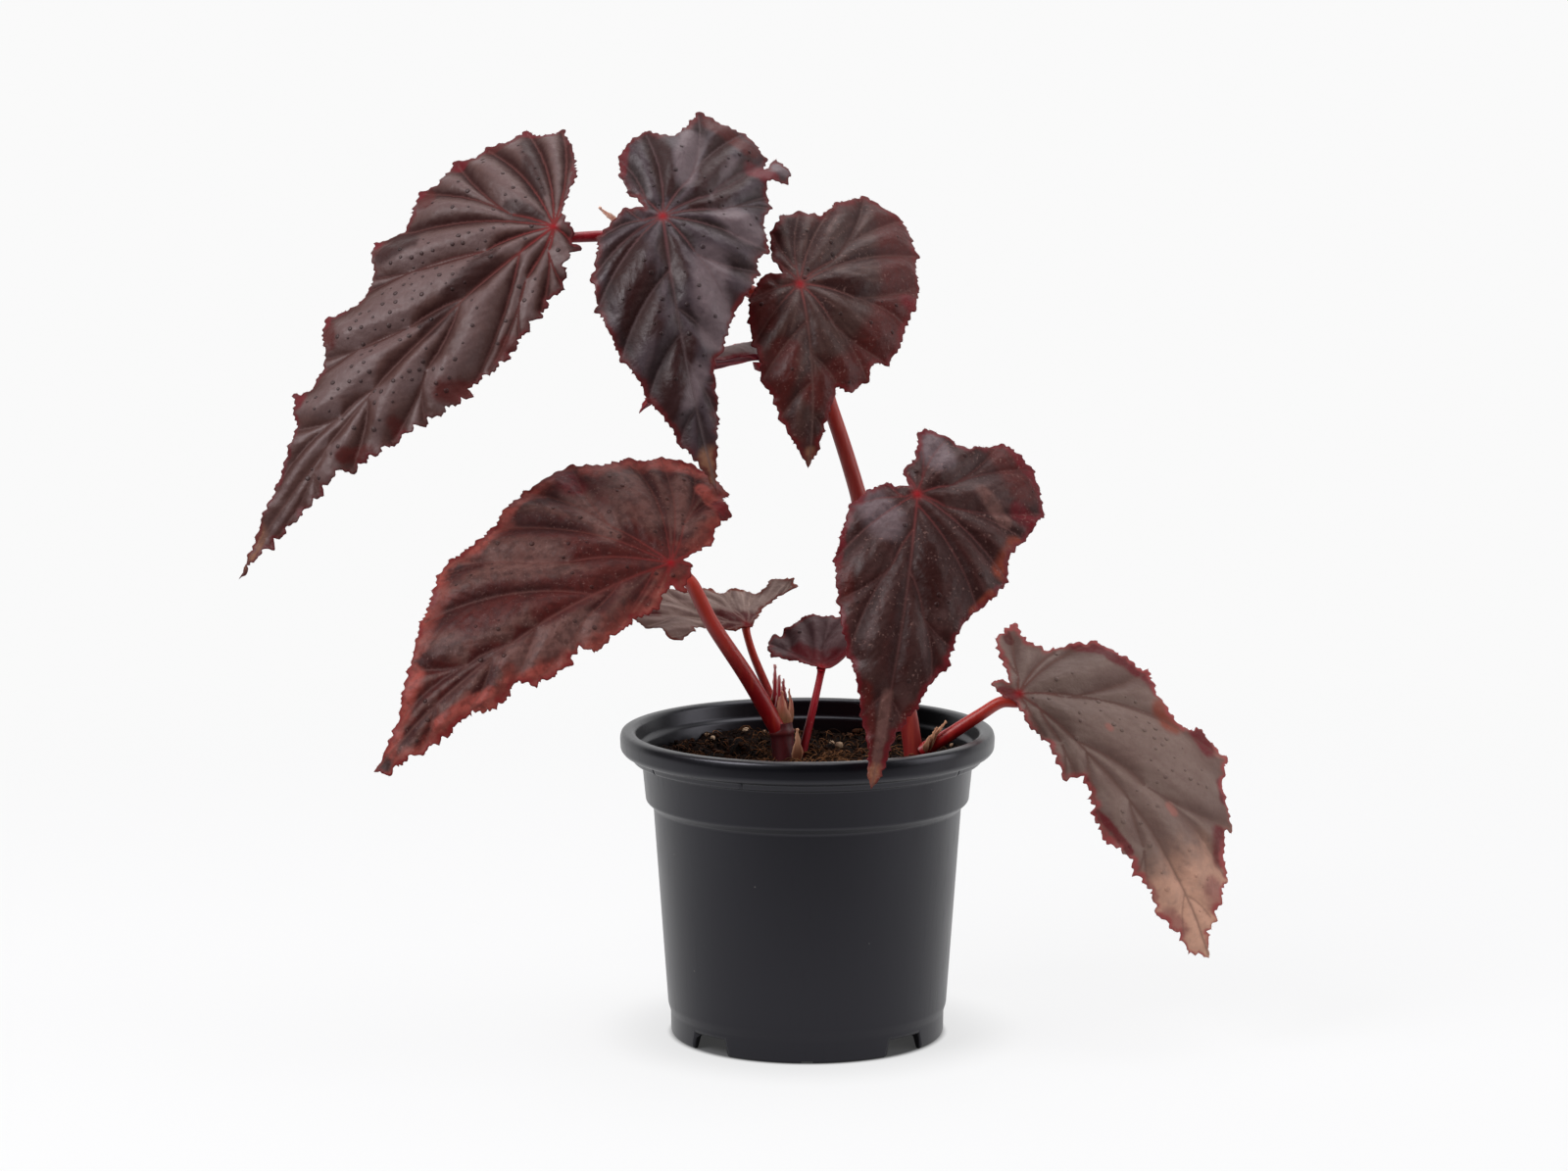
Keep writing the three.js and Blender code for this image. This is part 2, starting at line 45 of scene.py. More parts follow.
class Wire:  # one output socket, so that sums on it add their own nodes
    def __init__(self, bench, socket):
        self.bench = bench
        self.socket = socket

    def __add__(self, other):
        return self.bench.maths("ADD", self, other)

    def __radd__(self, other):
        return self.bench.maths("ADD", other, self)

    def __sub__(self, other):
        return self.bench.maths("SUBTRACT", self, other)

    def __rsub__(self, other):
        return self.bench.maths("SUBTRACT", other, self)

    def __mul__(self, other):
        return self.bench.maths("MULTIPLY", self, other)

    def __rmul__(self, other):
        return self.bench.maths("MULTIPLY", other, self)

    def __gt__(self, other):
        return self.bench.maths("GREATER_THAN", self, other)

    def output(self, name):  # another output of the same node
        return Wire(self.bench, self.socket.node.outputs[name])


class Bench:  # adds nodes to one tree
    def __init__(self, tree):
        self.tree = tree

    def node(self, kind, settings=None, sockets=None, out=0):
        made = self.tree.nodes.new(kind)
        for name, value in (settings or {}).items():
            setattr(made, name, value)
        for key, value in (sockets or {}).items():
            if isinstance(value, Wire):
                self.tree.links.new(value.socket, made.inputs[key])
            else:
                made.inputs[key].default_value = value
        return Wire(self, made.outputs[out]) if len(made.outputs) else made

    def maths(self, operation, *values):
        return self.node("ShaderNodeMath", {"operation": operation}, dict(enumerate(values)))

    def vector(self, operation, sockets, out=0):
        return self.node("ShaderNodeVectorMath", {"operation": operation}, sockets, out)

    def most(self, first, second):
        return self.maths("MAXIMUM", first, second)

    def ease(self, value, low, high):  # 0 below low, 1 above high, smooth between
        sockets = {0: value, 1: low, 2: high}
        return self.node("ShaderNodeMapRange", {"interpolation_type": "SMOOTHSTEP"}, sockets)

    def blend(self, factor, first, second):  # a colour between two
        return self.node("ShaderNodeMix", {"data_type": "RGBA"}, {0: factor, 6: first, 7: second}, 2)

    def coat(self, code, layers):  # a paint with other paints laid over it, each by its own factor
        colour = paint(code)
        for over, factor in layers:
            colour = self.blend(factor, colour, paint(over))
        return colour

    def attribute(self, name):
        return self.node("ShaderNodeAttribute", {"attribute_name": name}, out="Fac")

    def place(self, stretch=(1, 1, 1)):
        at = self.node("ShaderNodeTexCoord", out="Object")
        return self.node("ShaderNodeMapping", None, {"Vector": at, "Scale": stretch})

    def cloud(self, size, detail, stretch=(1, 1, 1)):  # soft noise with spots of about size millimetres
        sockets = {"Vector": self.place(stretch), "Scale": 1 / (size * mm), "Detail": detail}
        return self.node("ShaderNodeTexNoise", None, sockets)

    def specks(self, size, radius, share):  # dots in that share of the cells, size millimetres apart
        cell = self.node("ShaderNodeTexVoronoi", None, {"Vector": self.place(), "Scale": 1 / (size * mm)})
        lucky = self.node("ShaderNodeSeparateColor", None, {0: cell.output("Color")}) > 1 - share
        return lucky * (1 - self.ease(cell, radius * 0.5, radius))

    def bump(self, height, depth, strength):  # depth in millimetres
        sockets = {"Height": height, "Distance": depth * mm, "Strength": strength}
        return self.node("ShaderNodeBump", None, sockets)

    def stored(self, name, kind="FLOAT"):  # a value kept on the mesh that a tree works on
        return self.node("GeometryNodeInputNamedAttribute", {"data_type": kind}, {"Name": name})

    def chance(self, low, high, seed):  # a random number for each point
        return self.node("FunctionNodeRandomValue", None, {2: low, 3: high, 8: seed}, 1)

    def deliver(self, geometry, material):  # the last nodes of each tree
        smooth = self.node("GeometryNodeSetShadeSmooth", None, {"Geometry": geometry})
        painted = self.node("GeometryNodeSetMaterial", None, {"Geometry": smooth, "Material": material})
        self.node("NodeGroupOutput", None, {"Geometry": painted})


def paint(code):  # a linear colour from a hex code
    channels = [int(code[i:i + 2], 16) / 255 for i in (1, 3, 5)]
    return tuple(c / 12.92 if c <= 0.04045 else ((c + 0.055) / 1.055) ** 2.4 for c in channels) + (1.0,)


def emptyMaterial(name):
    material = bpy.data.materials.new(name)
    material.use_nodes = True
    material.node_tree.nodes.clear()
    return material, Bench(material.node_tree)


def makeMaterial(name, sockets):  # sockets is a function that gives the shader's values from a bench
    material, bench = emptyMaterial(name)
    shader = bench.node("ShaderNodeBsdfPrincipled", None, sockets(bench))
    bench.node("ShaderNodeOutputMaterial", None, {"Surface": shader})
    return material


def newTree(name, inputs):  # a Geometry Nodes tree with named inputs and one mesh out
    tree = bpy.data.node_groups.new(name, "GeometryNodeTree")
    tree.interface.new_socket("Geometry", in_out="INPUT", socket_type="NodeSocketGeometry")
    for label, kind in inputs.items():
        tree.interface.new_socket(label, in_out="INPUT", socket_type=f"NodeSocket{kind}")
    tree.interface.new_socket("Geometry", in_out="OUTPUT", socket_type="NodeSocketGeometry")
    return Bench(tree)


def grow(name, mesh, bench, values):  # runs a tree on a mesh and keeps the plain result
    source = bpy.data.objects.new(name + "Source", mesh)
    bpy.context.scene.collection.objects.link(source)
    modifier = source.modifiers.new("grow", "NODES")
    modifier.node_group = bench.tree
    for item in bench.tree.interface.items_tree:
        if item.in_out == "INPUT" and item.name in values:
            modifier[item.identifier] = values[item.name]
    graph = bpy.context.evaluated_depsgraph_get()
    grown = bpy.data.meshes.new_from_object(source.evaluated_get(graph), depsgraph=graph)
    bpy.data.objects.remove(source)
    grown.name = name
    return grown


def addPiece(name, mesh, slot, *nodes):  # a finished piece, in the CAD's frame
    piece = bpy.data.objects.new(name, mesh)
    bpy.context.scene.collection.objects.link(piece)
    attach(piece, "root")
    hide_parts(*nodes)
    print("made", name, len(mesh.polygons), "faces")


def meshOf(name, points, faces, material=None):  # points in millimetres
    mesh = bpy.data.meshes.new(name)
    mesh.from_pydata((np.asarray(points, float) * mm).tolist(), [], [list(map(int, f)) for f in faces])
    mesh.shade_smooth()
    if material:
        mesh.materials.append(material)
    return mesh


def fixNormals(mesh):  # turns the faces of closed shells outwards
    work = bmesh.new()
    work.from_mesh(mesh)
    bmesh.ops.recalc_face_normals(work, faces=work.faces)
    work.to_mesh(mesh)
    work.free()


def storeValues(mesh, **fields):
    for name, values in fields.items():
        values = np.asarray(values, np.float32)
        kind, key = ("FLOAT_VECTOR", "vector") if values.ndim == 2 else ("FLOAT", "value")
        mesh.attributes.new(name, kind, "POINT").data.foreach_set(key, values.ravel())


def unit(vectors):
    return vectors / np.maximum(np.linalg.norm(vectors, axis=-1, keepdims=True), 1e-9)


def smoothPath(points, perSpan=12):  # a centripetal Catmull-Rom curve through the points
    points = np.array(points, float)
    ends = np.vstack([2 * points[0] - points[1], points, 2 * points[-1] - points[-2]])
    path = []
    for group in zip(ends, ends[1:], ends[2:], ends[3:]):
        gaps = [np.linalg.norm(b - a) ** 0.5 for a, b in zip(group, group[1:])]
        knots = np.cumsum([0.0] + gaps)
        for t in np.linspace(knots[1], knots[2], perSpan, endpoint=False):
            level = list(group)
            for width, lows in ((1, (0, 1, 2)), (2, (0, 1)), (3, (1,))):
                step = 1 if width == 3 else width
                shares = [(t - knots[low]) / (knots[low + step] - knots[low]) for low in lows]
                level = [a * (1 - u) + b * u for a, b, u in zip(level, level[1:], shares)]
            path.append(level[0])
    path.append(points[-1])
    return np.array(path)


def resample(path, pitch):  # even steps of about pitch
    steps = np.linalg.norm(np.diff(path, axis=0), axis=1)
    run = np.concatenate([[0], np.cumsum(steps)])
    spots = np.linspace(0, run[-1], max(2, round(run[-1] / pitch)) + 1)
    return np.stack([np.interp(spots, run, path[:, k]) for k in range(path.shape[1])], -1)


def distanceTo(points, line):  # from each point to the nearest place on a polyline
    nearest = np.full(len(points), 1e9)
    for start, end in zip(line, line[1:]):
        run = end - start
        share = np.clip(((points - start) @ run) / max(run @ run, 1e-12), 0, 1)
        away = points - start - share[:, None] * run
        nearest = np.minimum(nearest, (away ** 2).sum(1))
    return np.sqrt(nearest)


def smoothStep(values, low, high):
    t = np.clip((values - low) / (high - low), 0, 1)
    return t * t * (3 - 2 * t)


def ripple(points, size, seed):  # smooth noise from -1 to 1 with waves of about size millimetres
    return np.array([noise.noise(Vector((x / size, y / size, seed * 7.31))) for x, y in points]) * 1.6


blade = {  # shared by the nine blades, in millimetres
    "pitch": 0.62,  # spacing of the mesh
    "thickness": 0.5,
    "rimThickness": 0.24,
    "pillow": 0.27,  # height of the quilting between two veins, over their spacing
    "pillowMost": 3.2,
    "smoothing": 10,
    "cord": 0.14,  # how far a vein stands up in its groove
    "creasePitch": 4.6,  # spacing of the small side veins
    "creaseDepth": 0.26,
    "cornering": 0.6,  # 1 keeps the listed corners of the margin, 0 rounds them all
    "lobe": 0.9,  # how far a lobe's point stands out where a vein ends
    "lobeReach": 1.6,
    "marginStep": 0.5,
    "toothPitch": 2.8,
    "toothPitches": (0.4, 1.6),  # least and most, over the pitch
    "toothDepth": 0.85,
    "toothDepths": (0.2, 1.5),
    "toothRise": 0.7,  # the share of a tooth that climbs, before it falls steeply
    "toothFall": 0.3,
    "toothBow": 1.3,
    "tipFade": 5,  # how near the tip and the notch the teeth die away
    "jagPitch": 6.2,  # a coarser zigzag under the teeth
    "jagDepth": 1.0,
    "waveHeight": 1.2,  # of the margin, up and down
    "waveSize": 8,
    "waveReach": 4,
    "swayHeight": 0.5,  # of the whole blade
    "swaySize": 22,
    "grainHeight": 0.08,
    "grainSize": 3.2,
    "starLift": 0.15,
    "starRadius": 1.8,
    "redReach": 0.12,  # how far the red runs along the veins, over the blade's length
    "shadeNearStarReach": 0.6,  # how far the painted shade in the grooves stays strong, over the blade's length
    "bristle": 0.6,
    "wart": 0.72,
    "wartGap": 3.1,
    "wartDensity": 200000.0,
}

veins = {
    "short": 1.5,  # how far before the tip the midrib stops
    "paired": 0.5,  # how often two lobes share a trunk
    "shortest": 6,
    "fork": (0.25, 0.5),  # where a trunk forks, over its length
    "lean": 0.06,
    "trunk": (0.08, 0.8), "branch": (0.1, 0.6), "lone": (0.11, 0.7),  # bow, then girth over the midrib's
    "step": 0.8,
    "slant": (36, 52),  # degrees between a vein and its creases
    "creaseReach": 14,
    "creaseBow": 0.012,
    "creaseGap": 0.9,  # how near the next vein a crease stops
    "width": 0.42,
}

# among the patches, pale and dusty ones are painted highlights on the cushions, and dark ones painted shade
# in the folds, laid in a dark maroon
leaves = {  # margins run along and across from the stalk, a patch is two ends and a radius
    "upper_left": {
        "at": (-86.8, 2, 280.8), "tip": (-191.9, -34, 164.6), "face": (-0.2, -0.85, 0.5),
        "bow": 12, "sweep": -3, "fold": -6, "curl": 0.16, "width": 50, "back": 0.1, "rake": 1.9,
        "notch": (-6, -3),
        "left": [(-5, 0), (-4, 5), (-1, 11), (6, 14), (12, 19), (18, 20), (25, 22), (31, 23), (37, 24),
                 (43, 26), (53, 25), (59, 24), (64, 26), (73, 24), (81, 21), (86, 20), (94, 17), (98, 17),
                 (109, 12), (114, 9), (123, 8), (132, 7), (146, 4)],
        "right": [(-21, -13), (-28, -22), (-34, -36), (-27, -38), (-25, -45), (-17, -46), (-10, -49),
                  (-3, -49), (1, -53), (12, -49), (18, -51), (34, -41), (42, -47), (47, -43), (53, -34),
                  (64, -30), (74, -37), (80, -32), (85, -24), (96, -20), (101, -24), (106, -20),
                  (110, -14), (118, -11), (129, -7), (145, -3)],
        "petiole": {"path": [(-57.6, 15.2, 275.4), (-68, 13, 277)], "radius": 1.9},
        "patches": {
            "crimson": [(2, -50, 1, -50, 2.6), (18, -51, 20, -50, 2), (42, -47, 43, -45, 2),
                        (74, -37, 76, -35, 2), (101, -24, 102, -21, 3), (-20, -49, -29, -38, 2.4),
                        (127, -8, 108, -18, 2)],
            "maroon": [(18, -48, 21, -44, 3), (43, -46, 44, -39, 3.4), (77, -33, 80, -28, 3.4),
                       (68, 19, 63, 26, 4), (88, 14, 90, 18, 2.6), (101, 13, 107, 7, 2.6),
                       (40, 22, 46, 25, 2.6), (-25, -44, -10, -47, 2)],
            # the dark patches are painted shade, laid in a dark maroon
            "dark": [(44, -38, 36, -34, 4), (24, -5, 55, -1, 4), (5, -18, 2, -7, 3),
                     (-20, -38, -6, -16, 3.2)],
            "tan": [(154, -2, 146, -3, 4)]},
        "jag": (2.2, 0.6), "approach": 5,
        "relief": 1.2, "ribs": 0.7, "teeth": 1.05, "dots": 1, "look": "taupe", "slot": "blade_taupe",
    },
    "top_middle": {
        "at": (-49.1, -12, 285.4), "tip": (-30.5, -36, 194.6), "face": (0.12, -0.9, 0.35),
        "bow": 9, "sweep": -3, "fold": -5, "curl": 0.18, "width": 42, "back": 0.12, "rake": 1.3,
        "notch": (-4, -6),
        "left": [(-11, -10), (-17, -13), (-26, -12), (-32, -9), (-36, -2), (-35, 8), (-47, 18), (-43, 26),
                 (-40, 33), (-36, 37), (-30, 40), (-25, 39), (-30, 43.5), (-26, 48.5), (-20, 46.5),
                 (-18, 39), (-8, 39), (-2, 36), (11, 36), (17, 31), (21, 31), (30, 26), (38, 19),
                 (45, 16), (50, 13), (54, 10), (61, 8), (68, 8), (74, 6), (82, 4)],
        "right": [(-4, -12), (0, -18), (4, -22), (11, -24), (18, -26), (24, -26), (29, -26), (37, -24),
                  (47, -21), (53, -18), (62, -15), (70, -11), (78, -8), (86, -4)],
        "petiole": {"path": [(-42.1, 18, 266.2), (-45, 8, 272)], "radius": 1.8},
        "patches": {
            "crimson": [(-23, 35, -21, 40, 3.4), (-29, -10, -19, -12, 1.6)],
            # pale patches are painted highlights, dark patches painted shade
            "pale": [(-27, 43, -26, 47, 3), (-34, 14, -16, 9, 4), (-22, 27, -10, 18, 4),
                     (18, 14, 44, 12, 6), (56, 3, 64, -3, 4), (-4, 21, 5, 30, 5)],
            "dark": [(-30, 1, -12, 2, 4), (-32, 24, -5, 13, 4), (-25, 34, -6, 19, 3.5),
                     (12, -13, 36, -12, 7), (67, -10, 46, 1, 4), (22, 2, 12, 1, 4)],
            "maroon": [(-42, 22, -31, 34, 3.4)],
            "tan": [(92, -1, 85, 0, 4)]},
        "jag": (0.5, 0.6), "approach": 5,
        "relief": 0.95, "ribs": 0.9, "teeth": 1, "dots": 0.6, "look": "charcoal", "slot": "blade_dark",
    },
    "top_right": {
        "at": (-2.7, -2, 261.6), "tip": (0.3, -20, 200.6), "face": (0.2, -0.9, 0.35),
        "bow": 6, "sweep": 1.5, "fold": -5, "curl": 0.2, "width": 42, "back": 0.15, "rake": 1.2,
        "notch": (-5, -5),
        "left": [(-11, -7), (-17, -7), (-23, -5), (-30, 0), (-32, 7), (-30, 14), (-35, 21), (-38, 27),
                 (-41, 34), (-36, 42), (-32, 46), (-27, 48), (-16, 48), (-10, 46), (-2, 45), (7, 42),
                 (13, 37), (21, 34), (28, 28), (28, 23), (34, 20), (39, 13), (36, 9), (43, 7), (51, 4),
                 (58, 3)],
        "right": [(-6, -10), (-4, -14), (3, -18), (10, -20), (20, -19), (27, -18), (34, -17), (40, -14),
                  (48, -11), (55, -7)],
        "petiole": {"path": [(-3.1, 18, 244.9), (-3.4, 12, 253)], "radius": 1.7},
        "patches": {
            "crimson": [(5, 39, 6, 41, 3)],
            "maroon": [(-31, 42, 5, 36, 7), (5, 36, 28, 20, 7), (28, 20, 38, 2, 6), (24, -9, 42, -13, 5),
                       (-11, -12, 12, -14, 4)],
            # the dark patches are painted shade
            "dark": [(-32, 3, -21, 3, 3), (3, 22, 0, 12, 4)],
            "tan": [(61, 0, 59, 0, 2.4)]},
        "jag": (0.6, 0.5), "approach": 5,
        "relief": 0.85, "ribs": 0.8, "teeth": 0.9, "dots": 0.25, "look": "umber", "slot": "blade_dark",
    },
    "middle_left": {
        "at": (-46.6, -24, 168.4), "tip": (-144.5, -58, 102.9), "face": (-0.1, -0.85, 0.5),
        "bow": 11, "sweep": -5, "fold": -5, "curl": 0.16, "width": 55, "back": 0.12, "rake": 1.8,
        "notch": (-5, 0),
        "left": [(-7, 3), (-4, 7), (0, 11), (4, 8), (12, 14), (18, 14), (25, 15), (30, 16), (38, 18),
                 (43, 14), (49, 17), (55, 18), (64, 16), (67, 12), (76, 14), (82, 14), (87, 10), (97, 11),
                 (108, 8), (114, 6), (120, 4)],
        "right": [(-18, -3), (-23, -8), (-31, -12), (-32, -19), (-36, -22), (-35, -31), (-31, -37),
                  (-27, -41), (-22, -45), (-15, -46), (-12, -49), (-1, -50), (7, -55), (16, -54),
                  (25, -52), (33, -49), (42, -44), (50, -42), (58, -42), (62, -41), (65, -39), (71, -34),
                  (79, -28), (85, -23), (92, -17), (100, -11), (108, -5), (117, -2)],
        "petiole": {"path": [(-8, -5.4, 104), (-20, -10, 126), (-33, -15, 147), (-41, -16, 162)],
                    "radius": 2.7},
        "patches": {
            "coral": [(50, -40, 33, -48, 3.0), (33, -48, 16, -53, 2.4), (4, -50, -14, -48, 2.4),
                      (-13, -47, -31, -35, 3.3), (-27, -26, -28, -14, 2.4), (61, -45, 69, -37, 3.0),
                      (72, -35, 81, -28, 2.4), (104, -7, 92, -13, 3.0), (116, -1, 110, -4, 3.0),
                      (98, 5, 77, 9, 1.8), (70, 10, 56, 14, 1.5)],
            "crimson": [(12, -51, 12, -44, 4), (-29, -16, -29, -11, 3)],
            "soot": [(124, 0, 119, 1, 3)],
            "maroon": [(21, -18, -3, -1, 7), (44, -4, 14, -4, 6), (68, -15, 54, -12, 5)],
            # dusty patches are painted sheen on the cushions
            "dusty": [(13, -42, 12, -20, 4), (-6, -40, -4, -20, 4), (62, 6, 36, 9, 5),
                      (-20, -30, -12, -14, 4), (46, -30, 34, -22, 5)]},
        "jag": (1.3, 0.5), "approach": 5,
        "relief": 0.75, "ribs": 1, "teeth": 1.1, "dots": 0.4, "look": "maroon", "slot": "blade_red",
    },
    "middle_right": {
        "at": (36.8, -38, 194), "tip": (21, -73, 100.4), "face": (0.1, -0.92, 0.35),
        "bow": 8, "sweep": 1, "fold": -5, "curl": 0.18, "width": 45, "back": 0.12, "rake": 1.3,
        "notch": (-3, -3),
        "left": [(-9, -5), (-15, -2), (-25, -1), (-27, 3), (-25, 9), (-22, 16), (-29, 28), (-28, 33),
                 (-22, 40), (-16, 43), (-6, 45), (1, 42), (6, 39), (15, 34), (23, 34), (31, 30), (36, 25),
                 (42, 21), (51, 18), (58, 18), (63, 13), (73, 10), (79, 6), (86, 4), (93, 3), (98, 2)],
        "right": [(-3, -10), (-1, -16), (6, -22), (15, -24), (26, -25), (34, -24), (41, -22), (50, -20),
                  (59, -16), (68, -12), (79, -8), (89, -4), (97, -2)],
        "petiole": {"path": [(26.8, 2, 149.5), (31, -12, 168), (34, -24, 184)], "radius": 2.1},
        "patches": {
            "crimson": [(-3, 36, -1, 40, 3.4), (-29, 31, -15, 43, 2), (11, -24, 26, -24, 1.6)],
            "ember": [(10, 36, 20, 32, 3.6), (30, 29, 37, 24, 2)],
            "maroon": [(-26, 28, -13, 37, 6), (30, -22, 40, -20, 3), (70, -9, 92, -3, 3),
                       (74, 9, 92, 4, 3)],
            "tan": [(100, 0, 96, 0, 3)],
            # pale and dusty patches are painted highlights, the dark patch painted shade
            "pale": [(5, -15, 12, -9, 6), (-22, 2, -15, 7, 5)],
            "dusty": [(-6, 22, 2, 31, 2.4), (70, -1, 92, 0, 1.8)],
            "dark": [(14, 3, 34, 8, 6)]},
        "jag": (0.6, 0.5), "approach": 5,
        "relief": 0.75, "ribs": 0.8, "teeth": 0.9, "dots": 0.3, "look": "wine", "slot": "blade_dark",
    },
    "lower_right": {
        "at": (72.8, -12, 121.5), "tip": (137.4, -34, 33.9), "face": (0.25, -0.85, 0.4),
        "bow": 12, "sweep": 5, "fold": -4, "curl": 0.15, "width": 48, "back": 0.1, "rake": 1.9,
        "notch": (-5, 1),
        "left": [(-15, 8), (-21, 12), (-21, 23), (-12, 19), (-3, 23), (-1, 29), (4, 36), (12, 38),
                 (22, 41), (30, 37), (43, 35), (46, 41), (59, 42), (65, 35), (78, 28), (78, 25), (91, 17),
                 (96, 11), (100, 6), (103, 3)],
        "right": [(-9, 0), (-10, -3), (-5, -4), (1, -4), (6, -5), (10, -8), (17, -7), (23, -10),
                  (31, -12), (35, -8), (44, -10), (49, -14), (58, -15), (66, -13), (74, -12), (80, -11),
                  (89, -12), (96, -10), (101, -7), (106, -7)],
        "petiole": {"path": [(39.5, -1, 99.6), (48, -3, 105), (60, -5.5, 113.4), (67, -6.5, 117.8)],
                    "radius": 2.2},
        "patches": {
            "maroon": [(-20, 17, -17, 15, 1.6)],
            "crimson": [(-5, -3, -1, -2, 2.0), (1, 30, 9, 36, 2.7), (11, 35, 19, 38, 2.5),
                        (23, 40, 29, 39, 3.0), (47, 39, 53, 38, 3.0), (65, 34, 69, 32, 2.2),
                        (77, 22, 85, 18, 2.7), (36, -8, 40, -9, 2.0), (48, -12, 66, -11, 1.4)],
            "ember": [(35, 34, 39, 33, 4)],
            "rose": [(55, 41, 57, 43, 2.2), (28, 12, 29, 12, 1.2), (61, 11, 63, 11, 1.7),
                     (91, 10, 96, 10, 3.8), (92, -9, 98, -7, 3.0), (76, -11, 84, -11, 1.8)],
            "straw": [(108, 0, 110, 0, 30)]},
        "jag": (0.8, 1.2), "approach": 5,
        "relief": 0.7, "ribs": 0.6, "teeth": 1.3, "dots": 0.6, "look": "clay", "slot": "blade_taupe",
    },
    "low_left": {
        "at": (-21.2, 14, 141.7), "tip": (-64.5, 4, 146.3), "face": (-0.22, -0.42, 0.88),
        "bow": 1, "sweep": 0, "fold": 2, "curl": -0.02, "width": 28, "back": -0.62, "rake": 1.4,
        "notch": (-2, 1),
        "left": [(4, 3), (8, 4), (13, 5), (18, 6), (21, 10), (26, 16), (30, 15), (33, 10), (37, 8),
                 (41, 5)],
        "right": [(-4, -4), (-8, -10), (-12, -14), (-19, -15), (-18, -21), (-15, -23), (-12, -25),
                  (-8, -20), (-4, -19), (0, -20), (3, -20), (6, -17), (10, -20), (14, -19), (18, -18),
                  (23, -16), (28, -16), (33, -14), (38, -10), (42, -5)],
        "petiole": {"path": [(-8.4, -1.5, 106), (-13, 5, 118), (-19.5, 11.5, 133)], "radius": 1.5},
        "patches": {
            "crimson": [(9, -1, -3, -3, 4.4), (0, -2, -9, -6, 3.4), (-9, -6, -18, -14, 2.2),
                        (32, 0, 41, 1, 1.6), (8, 4, -2, 1, 3.6)],
            "ember": [(14, -19, 14, -19, 1.8), (9, -20, 10, -19, 1.8), (0, -20, 1, -20, 1.6)]},
        "jag": (0.4, 0.6), "approach": 1.2,
        "relief": 0.75, "ribs": 0.8, "teeth": 0.8, "dots": 0, "look": "pale", "slot": "blade_taupe",
    },
    "low_middle": {
        "at": (4.8, 6, 127.8), "tip": (-13.7, 18, 134.5), "face": (0.1, -0.6, 0.79),
        "bow": 0, "sweep": 0, "fold": 4, "curl": 0, "width": 20, "back": -2, "rake": 1, "notch": (-3, 0),
        "left": [(2, 2), (8, 3), (13, 5), (16, 8), (20, 4)],
        "right": [(-7, -1), (-10, -4), (-11, -10), (-9, -16), (-4, -20), (2, -23), (8, -24), (12, -23),
                  (15, -21), (18, -20), (21, -17), (21, -13), (22, -9), (22, -6), (24, -4)],
        "petiole": {"path": [(-3, 0, 88), (-1.7, 1.5, 98), (2.3, 4.5, 115)], "radius": 1.4},
        "patches": {
            "crimson": [(10, -1, 0, -2, 4.4), (0, -2, -5, -8, 4.6)]},
        "jag": (0.3, 0.8), "approach": 1.2,
        "relief": 0.85, "ribs": 0.9, "teeth": 0.7, "dots": 0.2, "look": "plum", "slot": "blade_dark",
    },
    "behind": {
        "at": (-17.2, 14, 233.7), "tip": (-57.4, 5, 216), "face": (0.05, 0.1, 0.99),
        "bow": 4, "sweep": -2, "fold": 28, "curl": 0.1, "width": 24, "back": 0, "rake": 1.4,
        "notch": (-3, 0),
        "left": [(-4, 2), (0, 4), (6, 6), (12, 9), (20, 12), (28, 12), (36, 8), (42, 4)],
        "right": [(-7, -5), (-6, -11), (0, -16), (7, -15), (14, -15), (22, -11), (30, -9), (38, -4)],
        "petiole": {"path": [(0.6, 16, 237.6), (-6, 16.4, 236), (-12, 16, 233)], "radius": 1.6},
        "patches": {
            "crimson": [(30, 0, 1, 0, 3.4), (20, -6, 4, -3, 2)],
            "rose": [(42, 2, 38, 0, 4)]},
        "jag": (0.3, 0.5), "approach": 2,
        "relief": 0.5, "ribs": 0.5, "teeth": 0.8, "dots": 0, "look": "ash", "slot": "blade_red",
    },
}

